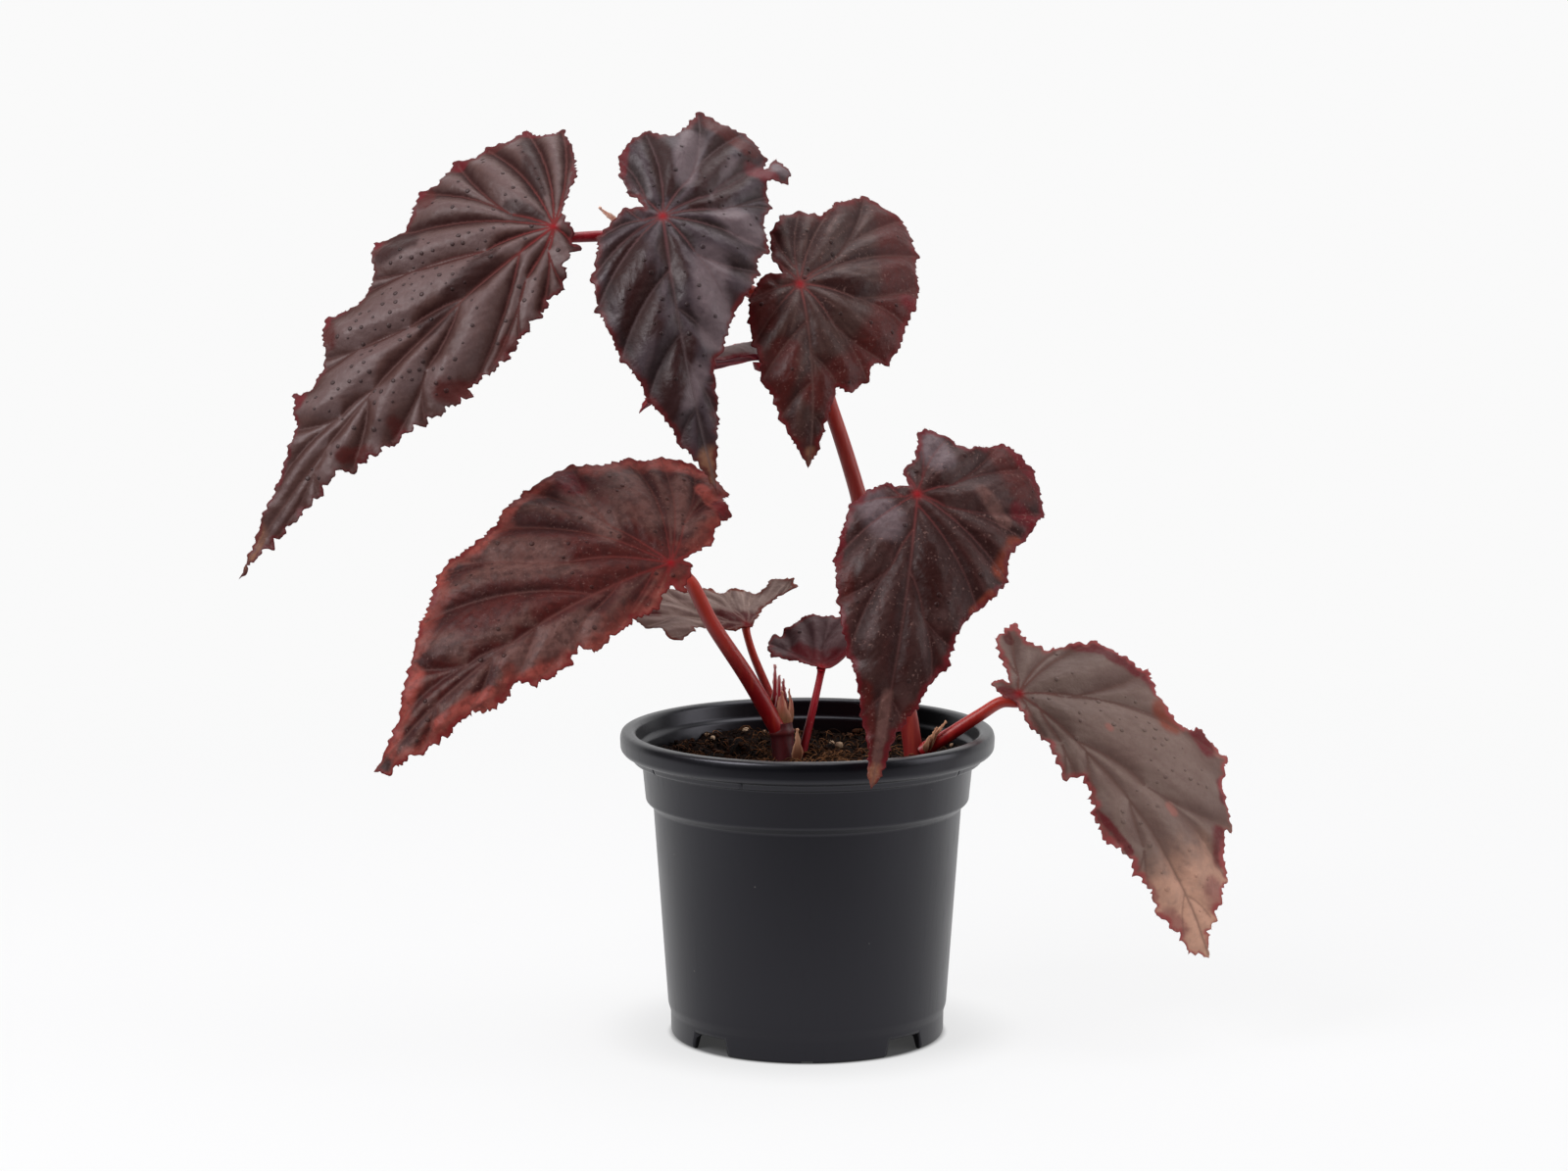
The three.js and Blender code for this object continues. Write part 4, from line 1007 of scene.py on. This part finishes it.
def stemTree():  # a round stem along a line of points, as thick as their girth
    bench = newTree("growStem", {"Sides": "Int", "Material": "Material"})
    given = bench.node("NodeGroupInput")
    ring = bench.node("GeometryNodeCurvePrimitiveCircle", None, {
        "Resolution": given.output("Sides"), "Radius": 1.0})
    line = bench.node("GeometryNodeMeshToCurve", None, {"Mesh": given.output("Geometry")})
    skin = bench.node("GeometryNodeCurveToMesh", None, {
        "Curve": line, "Profile Curve": ring, "Scale": bench.stored("girth"), "Fill Caps": True})
    skin = bench.node("GeometryNodeRealizeInstances", None, {"Geometry": skin})
    bench.deliver(skin, given.output("Material"))
    return bench


def stemMesh(name, path, girth, ring, material):
    line = bpy.data.meshes.new(name)
    line.from_pydata((path * mm).tolist(), [(i, i + 1) for i in range(len(path) - 1)], [])
    storeValues(line, girth=girth * mm, along=np.linspace(0, 1, len(path)), ring=ring)
    mesh = grow(name, line, stem, {"Sides": stems["sides"], "Material": material})
    lee = [0.5 - 0.5 * v.normal.z - 0.3 * v.normal.x for v in mesh.vertices]  # 1 on the lower side, for painted shade over the deeper red of the underside
    storeValues(mesh, lee=lee)
    return mesh


def nodeRings(t, nodes, reach):  # 1 at each node of a cane
    return sum(np.exp(-((t - at) / reach) ** 2) for at in nodes)


stem = stemTree()
stemMaterials = makeMaterials("stem", stemFinish, stemLooks)
for name, cane in canes.items():
    path = resample(smoothPath(cane["path"]), 1.0)
    t = np.linspace(0, 1, len(path))
    swell = nodeRings(t, cane["nodes"], stems["swellReach"])
    scar = nodeRings(t, cane["nodes"], stems["scarReach"])
    thick, thin = cane["radius"]
    girth = thick + (thin - thick) * t + stems["swell"] * swell + stems["scar"] * scar
    label = camelName(*name.split("_"))
    rings = np.clip(scar + swell * 0.3, 0, 1)
    addPiece(label, stemMesh(label, path, girth, rings, stemMaterials[cane["look"]]), cane["slot"], name)

for name, leaf in leaves.items():
    place = bladeForm(leaf)[0]
    at = np.array(leaf["at"], float)
    base = np.zeros((1, 2))
    above = unit(place(base, 1.0) - place(base, 0.0))[0]
    points = [*leaf["petiole"]["path"], at - above * leaf["approach"], at - above * stems["gap"]]
    path = resample(smoothPath(points), stems["step"])
    t = np.linspace(0, 1, len(path))
    toBlade = (1 - t) * len(path) * stems["step"]
    flare = stems["flare"] * np.exp(-toBlade / stems["flareReach"])
    thick, thin = stems["taper"]
    girth = leaf["petiole"]["radius"] * (thick + (thin - thick) * t + flare)
    look = "shadow" if name in ("low_middle", "upper_left", "behind") else "petiole"
    mesh = stemMesh(camelName("petiole", name), path, girth, np.zeros(len(path)), stemMaterials[look])
    addPiece(camelName("petiole", name), mesh, "petiole", f"petiole_{name}")


pot = {
    "segments": 192,
    "rounding": 0.7,
    "paints": ("#030306", "#06060a", "#6a6560"),
    "outside": [(46.8, 0), (47.6, 1), (47.7, 8), (48.6, 11), (53.5, 80.6), (56.1, 83), (57.4, 96.2),
                (60.5, 96.8), (61.3, 99.0), (63.6, 99.5), (64.8, 101), (65, 104.8), (64.5, 106.7),
                (63.4, 107.2)],
    "inside": [(60.8, 107.2), (59.6, 106.3), (58.6, 101.4), (57.2, 100.4), (56.1, 95.2), (54.9, 84.2),
               (52.3, 81.6), (46.6, 6.6)],
    "underside": [(0, 0), (30, 0), (33, 4.6), (44.6, 4.6), (45.4, 0)],
    "floor": [(34.2, 6.6), (30.8, 1.2), (0, 1.2)],
    "arch": {"angles": (45, 135, 225, 315), "width": 14.5, "slope": 1.6, "height": 6.2, "reach": (39, 52)},
    "hole": {"angles": (0, 90, 180, 270), "radius": 3.2, "at": 39.2, "reach": (-1, 8)},
    "mark": {"angles": (0,), "width": 4, "slope": 0, "height": 1, "reach": (44, 52)},
    "slit": {"angles": (-59, -21, 57.5), "width": 0.5, "slope": 0, "height": 99.4, "foot": 96.4,
             "reach": (60.2, 63)},
}


def roundedProfile(points, radius):  # each corner becomes a short curve
    points = np.array(points, float)
    made = [points[0]]
    for before, corner, after in zip(points, points[1:], points[2:]):
        runs = [p - corner for p in (before, after)]
        legs = [corner + unit(run) * min(radius, 0.45 * np.linalg.norm(run)) for run in runs]
        for t in (0, 0.33, 0.67, 1):
            made.append((1 - t) ** 2 * legs[0] + 2 * t * (1 - t) * corner + t * t * legs[1])
    made.append(points[-1])
    return np.array(made)


def turned(name, profile, segments, material):  # a profile from axis to axis, turned round Z
    angles = np.arange(segments) * 2 * math.pi / segments
    rings = profile[1:-1]
    points = [(r * math.cos(a), r * math.sin(a), z) for r, z in rings for a in angles]
    count = len(points)
    points += [(0, 0, profile[0][1]), (0, 0, profile[-1][1])]
    faces = [(i * segments + k, i * segments + (k + 1) % segments, (i + 1) * segments + (k + 1) % segments,
              (i + 1) * segments + k) for i in range(len(rings) - 1) for k in range(segments)]
    last = (len(rings) - 1) * segments
    faces += [(count, (k + 1) % segments, k) for k in range(segments)]
    faces += [(count + 1, last + k, last + (k + 1) % segments) for k in range(segments)]
    return meshOf(name, points, faces, material)


def potFinish(bench):
    scuffs = bench.cloud(1.2, 4, (1, 1, 0.06))
    haze = bench.cloud(30, 3)
    grain = bench.cloud(0.5, 2)
    plastic, bloom, dust = pot["paints"]
    colour = bench.coat(plastic, [
        (bloom, bench.ease(haze, 0.3, 0.7)),
        (dust, bench.specks(3.5, 0.1, 0.05) * 0.5)])
    rough = 0.27 + haze * 0.12 + bench.ease(scuffs, 0.55, 0.8) * 0.1
    return {"Base Color": colour, "Roughness": rough,
            "Normal": bench.bump(scuffs * 0.6 + grain * 0.4, 0.05, 0.5),
            "Specular IOR Level": 0.42, "Specular Tint": (0.9, 0.88, 1.0, 1.0)}


potMaterial = makeMaterial("blackPlastic", potFinish)
profile = roundedProfile([*pot["underside"], *pot["outside"], *pot["inside"], *pot["floor"]], pot["rounding"])
potMesh = turned("nurseryPot", profile, pot["segments"], potMaterial)
fixNormals(potMesh)


def prism(points, faces, ends):  # joins two rings of points into a closed block
    first, count = len(points), len(ends[0])
    points += [*ends[0], *ends[1]]
    faces += [[first + k for k in range(count)], [first + 2 * count - 1 - k for k in range(count)]]
    for k in range(count):
        a, b = first + k, first + (k + 1) % count
        faces.append((a, a + count, b + count, b))


cutPoints, cutFaces = [], []
for cutter in (pot["arch"], pot["mark"], pot["slit"]):
    foot = cutter["width"] / 2 + cutter["slope"]
    low, high = cutter.get("foot", -1), cutter["height"]
    section = [(-foot, low), (foot, low), (foot - cutter["slope"], high), (cutter["slope"] - foot, high)]
    for angle in cutter["angles"]:  # 0 is the front
        turn = math.radians(angle)
        sine, cosine = math.sin(turn), math.cos(turn)
        prism(cutPoints, cutFaces, [[(x * cosine + y * sine, x * sine - y * cosine, z) for x, z in section]
                                    for y in cutter["reach"]])
hole = pot["hole"]
circle = [(hole["radius"] * math.cos(a), hole["radius"] * math.sin(a)) for a in np.arange(24) * math.pi / 12]
for angle in hole["angles"]:
    x, y = hole["at"] * math.cos(math.radians(angle)), hole["at"] * math.sin(math.radians(angle))
    prism(cutPoints, cutFaces, [[(x + u, y + v, z) for u, v in circle] for z in hole["reach"]])
cutMesh = meshOf("archCutters", cutPoints, cutFaces)
fixNormals(cutMesh)
cutObject = bpy.data.objects.new("archCutters", cutMesh)
potObject = bpy.data.objects.new("potSource", potMesh)
for thing in (cutObject, potObject):
    bpy.context.scene.collection.objects.link(thing)
cut = potObject.modifiers.new("cut", "BOOLEAN")
cut.operation = "DIFFERENCE"
cut.solver = "EXACT"
cut.object = cutObject
graph = bpy.context.evaluated_depsgraph_get()
potDone = bpy.data.meshes.new_from_object(potObject.evaluated_get(graph), depsgraph=graph)
bpy.data.objects.remove(potObject)
bpy.data.objects.remove(cutObject)
addPiece("nurseryPot", potDone, "pot", "pot")


soil = {
    "level": 96.5, "edge": 55.6, "rings": 46, "segments": 160, "strewAbove": 90,
    "bumps": ((0.9, 4.5, 2), (0.5, 1.9, 5)),  # height, size and seed
    "walls": ((54.4, 84.2), (51.9, 81.2), (46.3, 7.2), (30, 2.0)),  # radius and height, down inside the pot
    "paints": ("#080404", "#190d08", "#3a2114"),
}


def soilHeight(x, y):
    rolls = 1.1 * np.sin(x * 0.11 + 1.3) * np.cos(y * 0.09 - 0.6)
    lumps = 0.7 * np.sin(x * 0.41 + y * 0.23) + 0.5 * np.sin(y * 0.57 - x * 0.31 + 2)
    return soil["level"] + rolls + lumps


def soilFinish(bench):
    lumps, grain = bench.cloud(4, 4), bench.cloud(0.9, 3)
    dark, pale, dust = soil["paints"]
    colour = bench.coat(dark, [
        (pale, bench.ease(lumps, 0.35, 0.7)),
        (dust, bench.ease(grain, 0.5, 0.75) * 0.6)])
    relief = lumps * 0.5 + grain * 0.5
    return {"Base Color": colour, "Roughness": 0.95, "Normal": bench.bump(relief, 0.8, 0.8),
            "Specular IOR Level": 0.08}


def litterFinish(colours, rough):
    def sockets(bench):
        tone, grain = bench.attribute("tone"), bench.cloud(0.7, 3)
        dark, pale, dust = colours
        colour = bench.coat(dark, [
            (pale, bench.ease(tone, 0.1, 0.9)),
            (dust, bench.ease(grain, 0.4, 0.75) * 0.5)])
        return {"Base Color": colour, "Roughness": rough, "Normal": bench.bump(grain, 0.3, 0.7),
                "Specular IOR Level": 0.12}
    return sockets


def soilMesh():
    segments = soil["segments"]
    angles = np.arange(segments) * 2 * math.pi / segments
    radii = np.linspace(0, soil["edge"], soil["rings"] + 1)[1:]
    x = (radii[:, None] * np.cos(angles)).ravel()
    y = (radii[:, None] * np.sin(angles)).ravel()
    flat = np.stack([x, y], -1)
    z = soilHeight(x, y)
    for height, size, seed in soil["bumps"]:
        z = z + height * ripple(flat, size, seed)
    points = list(zip(x, y, z))
    rings = len(radii)
    for radius, level in soil["walls"]:
        points += [(radius * math.cos(a), radius * math.sin(a), level) for a in angles]
    bands = rings + len(soil["walls"]) - 1
    faces = [(i * segments + k, (i + 1) * segments + k, (i + 1) * segments + (k + 1) % segments,
              i * segments + (k + 1) % segments) for i in range(bands) for k in range(segments)]
    centre, base = len(points), len(points) + 1
    points += [(0, 0, float(soilHeight(0.0, 0.0))), (0, 0, soil["walls"][-1][1])]
    last = bands * segments
    faces += [(centre, k, (k + 1) % segments) for k in range(segments)]
    faces += [(base, last + (k + 1) % segments, last + k) for k in range(segments)]
    mesh = meshOf("pottingMix", points, faces, soilMaterial)
    onTop = [float(z > soil["strewAbove"] and math.hypot(x, y) < soil["edge"] - 1) for x, y, z in points]
    storeValues(mesh, litterField=onTop)
    return mesh


def litterTree():  # one kind of crumb strewn over the top of the mix
    sizes = ("Density", "Size", "Length", "Flatness", "Roughness", "Stand")
    bench = newTree("strewLitter", {**dict.fromkeys(sizes, "Float"), "Seed": "Int", "Material": "Material"})
    given = bench.node("NodeGroupInput")
    seed = given.output("Seed")
    spread = bench.node("GeometryNodeDistributePointsOnFaces", {"distribute_method": "POISSON"}, {
        "Mesh": given.output("Geometry"), "Distance Min": given.output("Size") * 0.8,
        "Density Max": given.output("Density"), "Density Factor": bench.stored("litterField"), "Seed": seed})
    ball = bench.node("GeometryNodeMeshIcoSphere", None, {"Radius": 1.0, "Subdivisions": 2})
    turn = bench.node("FunctionNodeRandomValue", {"data_type": "FLOAT_VECTOR"}, {
        0: (-0.5, -0.5, 0.0), 1: (0.5, 0.5, 6.28), 8: seed})
    turn = bench.node("FunctionNodeEulerToRotation", None, {0: turn})
    stretch = bench.node("ShaderNodeCombineXYZ", None, {
        "X": given.output("Length"), "Y": 1.0, "Z": given.output("Flatness")})
    size = given.output("Size") * bench.chance(0.4, 1.2, seed + 4)
    scale = bench.vector("SCALE", {0: stretch, "Scale": size})
    crumbs = bench.node("GeometryNodeInstanceOnPoints", None, {
        "Points": spread, "Instance": ball, "Rotation": turn, "Scale": scale})
    crumbs = bench.node("GeometryNodeStoreNamedAttribute", {"domain": "INSTANCE"}, {
        "Geometry": crumbs, "Name": "tone", "Value": bench.chance(0.0, 1.0, seed + 8)})
    whole = bench.node("GeometryNodeRealizeInstances", None, {"Geometry": crumbs})
    wobble = bench.node("ShaderNodeTexNoise", None, {"Scale": 900.0, "Detail": 2.0}, "Color")
    centred = bench.vector("SUBTRACT", {0: wobble, 1: (0.5, 0.5, 0.5)})
    shift = bench.vector("SCALE", {0: centred, "Scale": given.output("Size") * given.output("Roughness")})
    stand = bench.node("ShaderNodeCombineXYZ", None, {"Z": given.output("Stand")})
    shift = bench.vector("ADD", {0: shift, 1: stand})
    whole = bench.node("GeometryNodeSetPosition", None, {"Geometry": whole, "Offset": shift})
    bench.deliver(whole, given.output("Material"))
    return bench


litterKinds = {
    "crumbLitter": {
        "Density": 60000.0, "Size": 0.7 * mm, "Length": 1.4, "Flatness": 0.9, "Roughness": 1.6,
        "Stand": 0.2 * mm, "Seed": 3, "colours": ("#0e0705", "#3c2214", "#080403"), "rough": 0.95},
    "barkLitter": {
        "Density": 9000.0, "Size": 1.3 * mm, "Length": 1.5, "Flatness": 0.7, "Roughness": 1.5,
        "Stand": 0.4 * mm, "Seed": 5, "colours": ("#140a06", "#4a2a18", "#0a0504"), "rough": 0.95},
    "perliteLitter": {
        "Density": 1300.0, "Size": 1.25 * mm, "Length": 1.15, "Flatness": 0.9, "Roughness": 0.8,
        "Stand": 0.6 * mm, "Seed": 9, "colours": ("#8a6c54", "#c4aa90", "#6a4c38"), "rough": 0.85},
}
fibres = {
    "count": 900, "length": (2.5, 8), "girth": (0.11, 0.24), "rise": (0.2, 2.2), "curl": 1.1,
    "gathered": 0.4,  # the share that lies close round the stems
    "sides": 4, "steps": 7, "colours": ("#1c0f09", "#7a5236", "#140b07"), "rough": 0.9,
}

soilMaterial = makeMaterial("pottingMix", soilFinish)
mix = soilMesh()
addPiece("pottingMix", mix, "soil", "soil")
strew = litterTree()
for name, kind in litterKinds.items():
    values = {key: value for key, value in kind.items() if key not in ("colours", "rough")}
    values["Material"] = makeMaterial(name, litterFinish(kind["colours"], kind["rough"]))
    addPiece(name, grow(name, mix.copy(), strew, values), "soil", "soil")


def fibreMesh(material):  # curly threads that lie on the mix, thickest round the stems
    rng = np.random.default_rng(21)
    points, faces, tone = [], [], []
    sides, steps = fibres["sides"], fibres["steps"]
    for _ in range(fibres["count"]):
        angle = rng.uniform(0, 2 * math.pi)
        away = (soil["edge"] - 5) * math.sqrt(rng.uniform(0, 1))
        spot = np.array([away * math.cos(angle), away * math.sin(angle)])
        if rng.random() < fibres["gathered"]:
            spot = spot * 0.35 + np.array([-4, -6]) * 0.65
        heading = rng.uniform(0, 2 * math.pi)
        bend = rng.normal(0, fibres["curl"])
        rise = rng.uniform(*fibres["rise"])
        length = rng.uniform(*fibres["length"])
        girth = rng.uniform(*fibres["girth"])
        shade = rng.uniform(0, 1)
        line = []
        for k in range(steps + 1):
            t = k / steps
            line.append([*spot, soilHeight(*spot) + 0.3 + rise * math.sin(math.pi * t)])
            spot = spot + length / steps * np.array([math.cos(heading), math.sin(heading)])
            heading += bend / steps * 2
        line = np.array(line)
        if np.linalg.norm(line[:, :2], axis=1).max() > soil["edge"] - 3:
            continue
        ahead = unit(np.gradient(line, axis=0))
        side = unit(np.cross(ahead, (0, 0, 1)))
        up = np.cross(side, ahead)
        first = len(points)
        for k in range(steps + 1):
            thin = girth * (1 - 0.6 * abs(2 * k / steps - 1) ** 3)
            for i in range(sides):
                turn = 2 * math.pi * i / sides
                points.append(line[k] + thin * (side[k] * math.cos(turn) + up[k] * math.sin(turn)))
                tone.append(shade)
        for k in range(steps):
            for i in range(sides):
                a, b = first + k * sides + i, first + k * sides + (i + 1) % sides
                faces.append((a, b, b + sides, a + sides))
        faces.append([first + i for i in reversed(range(sides))])
        faces.append([first + steps * sides + i for i in range(sides)])
    mesh = meshOf("fibreLitter", points, faces, material)
    storeValues(mesh, tone=tone)
    fixNormals(mesh)
    return mesh


fibreMaterial = makeMaterial("fibreLitter", litterFinish(fibres["colours"], fibres["rough"]))
addPiece("fibreLitter", fibreMesh(fibreMaterial), "soil", "soil")


scales = {  # each blade lists its foot, its tip, the way it faces, its width and its bow
    "stipuleApex": {"node": "stipule_apex", "slot": "bract", "look": "papery", "blades": [
        ((-60.2, 13, 276), (-71.6, 9, 287.4), (0.3, -0.8, 0.5), 5.2, 1.2),
        ((-60.6, 13.5, 275.6), (-68, 12, 285), (-0.2, -0.8, 0.5), 4, -1)]},
    "bractRight": {"node": "bract_right", "slot": "bract", "look": "husk", "blades": [
        ((41.2, -2.6, 100.4), (48, -6, 111), (-0.4, -0.8, 0.4), 2.6, 0.9),
        ((41.4, -3.0, 99.8), (44.8, -6.5, 109), (-0.2, -0.9, 0.4), 2.6, 0.8),
        ((40.6, -3.4, 99.8), (42.4, -6.8, 106), (-0.2, -0.9, 0.4), 2.4, 0.7)]},
    "bractLeft": {"node": "bract_left", "slot": "bract", "look": "husk", "blades": [
        ((-3.6, -10.2, 97.2), (-3.4, -11.2, 109.4), (0.2, -0.9, 0.3), 4.2, 1)]},
    "youngShoot": {"node": "young_shoot", "slot": "shoot", "look": "bud", "blades": [
        ((-10.2, -3.6, 107.8), (-11.2, -3.8, 130.5), (-0.4, -0.9, 0.1), 4.6, 1),
        ((-8.6, -3.4, 107.8), (-8.2, -3.6, 125.5), (0.4, -0.9, 0.1), 4.6, 1),
        ((-9.4, -4.4, 107.8), (-9.8, -5.0, 127.0), (0, -1, 0.1), 4.6, 1)]},
    "shootSheath": {"node": "young_shoot", "slot": "shoot", "look": "sheath", "blades": [
        ((-9.2, -6.2, 107.4), (-8.8, -5.4, 121.5), (0.1, -1, 0.1), 8.4, 2),
        ((-6.4, -4.2, 107.6), (-6.2, -3.6, 122.0), (0.9, -0.4, 0.1), 6.4, 1.4),
        ((-12.4, -4.4, 107.6), (-12.2, -3.6, 120.0), (-0.9, -0.4, 0.1), 6.4, 1.4)]},
}
scaleLooks = {
    "husk": {"base": "#75462f", "tip": "#a2745a", "edge": "#b88a6e", "rough": 0.85},
    "papery": {"base": "#a07460", "tip": "#c89a86", "edge": "#dcb6a6", "rough": 0.8},
    "bud": {"base": "#8a1c26", "tip": "#9c2430", "edge": "#dcb0b0", "rough": 0.5},
    "sheath": {"base": "#8e6244", "tip": "#9a4c3c", "edge": "#b47a62", "rough": 0.55},
}
scaleForm = {"rows": 26, "columns": 10, "thickness": 0.35, "fringe": 1.1, "linePaint": "#6a3a2c"}


def scaleFinish(look):
    def sockets(bench):
        along, edge = bench.attribute("along"), bench.attribute("edge")
        lines = bench.cloud(1.0, 3, (1, 1, 0.12))
        colour = bench.coat(look["base"], [
            (look["tip"], bench.ease(along, 0.2, 0.75)),
            (look["edge"], bench.ease(edge + along * 0.4, 0.75, 1.25)),
            (scaleForm["linePaint"], bench.ease(lines, 0.5, 0.75) * 0.4)])
        return {"Base Color": colour, "Roughness": look["rough"], "Normal": bench.bump(lines, 0.25, 0.7),
                "Specular IOR Level": 0.4, "Subsurface Weight": 0.15,
                "Subsurface Radius": (1.0, 0.4, 0.3), "Subsurface Scale": 1.0 * mm}
    return sockets


def scaleMesh(name, parts, material):  # lance-shaped scales, hollowed like a boat
    points, faces, along, edge = [], [], [], []
    rng = np.random.default_rng(77)
    rows, columns = scaleForm["rows"], scaleForm["columns"]
    for *ends, breadth, bow in parts:
        at, tip, face = (np.array(values, float) for values in ends)
        ahead = tip - at
        length = np.linalg.norm(ahead)
        ahead /= length
        face = unit(face - ahead * (face @ ahead))
        side = np.cross(face, ahead)
        first = len(points)
        jag = rng.uniform(0, 1, (rows + 1, 2))
        for level in (1, -1):
            for i in range(rows + 1):
                t = i / rows
                belly = 0.55 + 0.45 * math.sin(math.pi * min(1, t * 1.6))
                half = breadth / 2 * belly * (1 - t ** 2.4) + 0.05
                for k in range(columns + 1):
                    u = 2 * k / columns - 1
                    ragged = scaleForm["fringe"] * jag[i, int(u > 0)] * (abs(u) > 0.95) * t * 0.6
                    point = at + ahead * length * t + side * (u * (half + ragged) * 0.92)
                    cup = bow * (math.sin(math.pi * min(1.0, t * 1.1)) - 0.25 * u * u * half)
                    points.append(point + face * (cup + level * scaleForm["thickness"] / 2 * (1 - t * 0.5)))
                    along.append(t)
                    edge.append(abs(u))
        width = columns + 1
        total = (rows + 1) * width
        for i in range(rows):
            for k in range(columns):
                a = first + i * width + k
                ring = (a, a + 1, a + width + 1, a + width)
                faces += [ring, tuple(corner + total for corner in reversed(ring))]
        loop = [first + k for k in range(columns)]
        loop += [first + i * width + columns for i in range(rows)]
        loop += [first + rows * width + k for k in range(columns, 0, -1)]
        loop += [first + i * width for i in range(rows, 0, -1)]
        faces += [(b, a, a + total, b + total) for a, b in zip(loop, loop[1:] + loop[:1])]
    mesh = meshOf(name, points, faces, material)
    storeValues(mesh, along=along, edge=edge)
    return mesh


scaleMaterials = makeMaterials("scale", scaleFinish, scaleLooks)
for name, scale in scales.items():
    mesh = scaleMesh(name, scale["blades"], scaleMaterials[scale["look"]])
    addPiece(name, mesh, scale["slot"], scale["node"])


studio = {
    "floorHalf": 5.0, "sweepStart": 1.6, "sweepRadius": 1.5, "wallHeight": 4.0,
    "world": 0.025, "white": 0.955, "nearWhite": 0.83, "near": (0.3, 0.8),
    "front": 0.06, "fade": (-0.4, -0.08), "shadowUnderPot": (0.0455, 0.0495), "shadowBesidePot": (0.047, 0.08),
    "cameraAt": (0, -1.5, 0.3814), "pitch": 0.1482, "yaw": 0.0054, "lens": 100.86,
    "lights": {  # place, what it points at, size and watts
        "keyLight": ((-0.92, -0.6, 1.16), (0, 0, 0.18), (0.8, 0.75), 22),
        "topLight": ((0.25, 0.25, 1.5), (0, 0, 0.15), (1.4, 1.0), 14),
        "rightLight": ((1.4, -0.15, 0.65), (0, 0, 0.15), (0.8, 1.0), 8),
        "fillLight": ((1.1, -1.2, 0.55), (0, 0, 0.2), (1.2, 1.2), 8),
    },
}


def softbox(name, at, aim, size, watts):
    data = bpy.data.lights.new(name, "AREA")
    data.shape = "RECTANGLE"
    data.size, data.size_y = size
    data.energy = watts
    light = bpy.data.objects.new(name, data)
    light.location = at
    light.rotation_euler = (Vector(aim) - Vector(at)).to_track_quat("-Z", "Y").to_euler()
    light.visible_glossy = name != "fillLight"  # the fill leaves no glare on the pot
    bpy.context.scene.collection.objects.link(light)


def sweepMesh():  # a pale floor that curves up into a backdrop
    sizes = (studio[key] / mm for key in ("floorHalf", "sweepStart", "sweepRadius", "wallHeight"))
    half, start, radius, height = sizes
    line = [(-half, 0), (start, 0)]
    for a in np.linspace(0.05, math.pi / 2, 24):
        line.append((start + radius * math.sin(a), radius - radius * math.cos(a)))
    line.append((start + radius, height))
    points = [(x, y, z) for x in (-half, half) for y, z in line]
    count = len(line)
    faces = [(i, i + count, i + count + 1, i + 1) for i in range(count - 1)]
    return meshOf("studioFloor", points, faces, floorMaterial)


def makeFloorMaterial():  # matt near the plant, where it takes the shadow, with a painted shadow under and round the pot's foot, and evenly white further off
    material, bench = emptyMaterial("paleFloor")
    spot = bench.place()
    away = bench.vector("LENGTH", {0: spot}, 1)
    ahead = bench.node("ShaderNodeSeparateXYZ", None, {0: spot}).output("Y")
    seen = bench.node("ShaderNodeLightPath", out="Is Camera Ray")
    dim = studio["front"]  # the side towards the camera gives less light back
    glow = bench.most(bench.ease(ahead, *studio["fade"]) * (1 - dim) + dim, seen)
    # painted shadow: the floor's glow is dimmed under the pot and brightens again beside its foot
    under, beside = studio["shadowUnderPot"], studio["shadowBesidePot"]
    contactShadow = bench.ease(away, *under) * 0.82 + bench.ease(away, *beside) * 0.13 + 0.05
    glow = bench.blend(glow * contactShadow, (0, 0, 0, 1), (1, 1, 1, 1))
    near = bench.node("ShaderNodeBsdfPrincipled", None, {
        "Base Color": (0.1, 0.1, 0.104, 1), "Roughness": 0.9, "Specular IOR Level": 0.0,
        "Emission Color": glow, "Emission Strength": studio["nearWhite"]})
    far = bench.node("ShaderNodeEmission", None, {"Color": glow, "Strength": studio["white"]})
    mixed = bench.node("ShaderNodeMixShader", None, {0: bench.ease(away, *studio["near"]), 1: near, 2: far})
    bench.node("ShaderNodeOutputMaterial", None, {"Surface": mixed})
    return material


floorMaterial = makeFloorMaterial()
floor = bpy.data.objects.new("studioFloor", sweepMesh())
bpy.context.scene.collection.objects.link(floor)
for name, light in studio["lights"].items():
    softbox(name, *light)

world = bpy.data.worlds.new("studio")
world.use_nodes = True
sky = Bench(world.node_tree)
seen = sky.node("ShaderNodeLightPath", out="Is Camera Ray")
fill = sky.node("ShaderNodeBackground", None, {"Color": (1, 1, 1, 1), "Strength": studio["world"]})
backdrop = sky.node("ShaderNodeBackground", None, {"Color": (1, 1, 1, 1), "Strength": studio["white"]})
shade = sky.node("ShaderNodeMixShader", None, {0: seen, 1: fill, 2: backdrop})
sky.tree.links.new(shade.socket, world.node_tree.nodes["World Output"].inputs["Surface"])
bpy.context.scene.world = world
bpy.context.scene.view_settings.view_transform = "Standard"

lens = bpy.data.cameras.new("camera")
lens.sensor_fit = "HORIZONTAL"
lens.sensor_width = 36
lens.lens = studio["lens"]
lens.clip_end = 50
camera = bpy.data.objects.new("camera", lens)
camera.location = studio["cameraAt"]
camera.rotation_euler = (math.pi / 2 - studio["pitch"], 0, studio["yaw"])
bpy.context.scene.collection.objects.link(camera)
bpy.context.scene.camera = camera
print("studio ready")
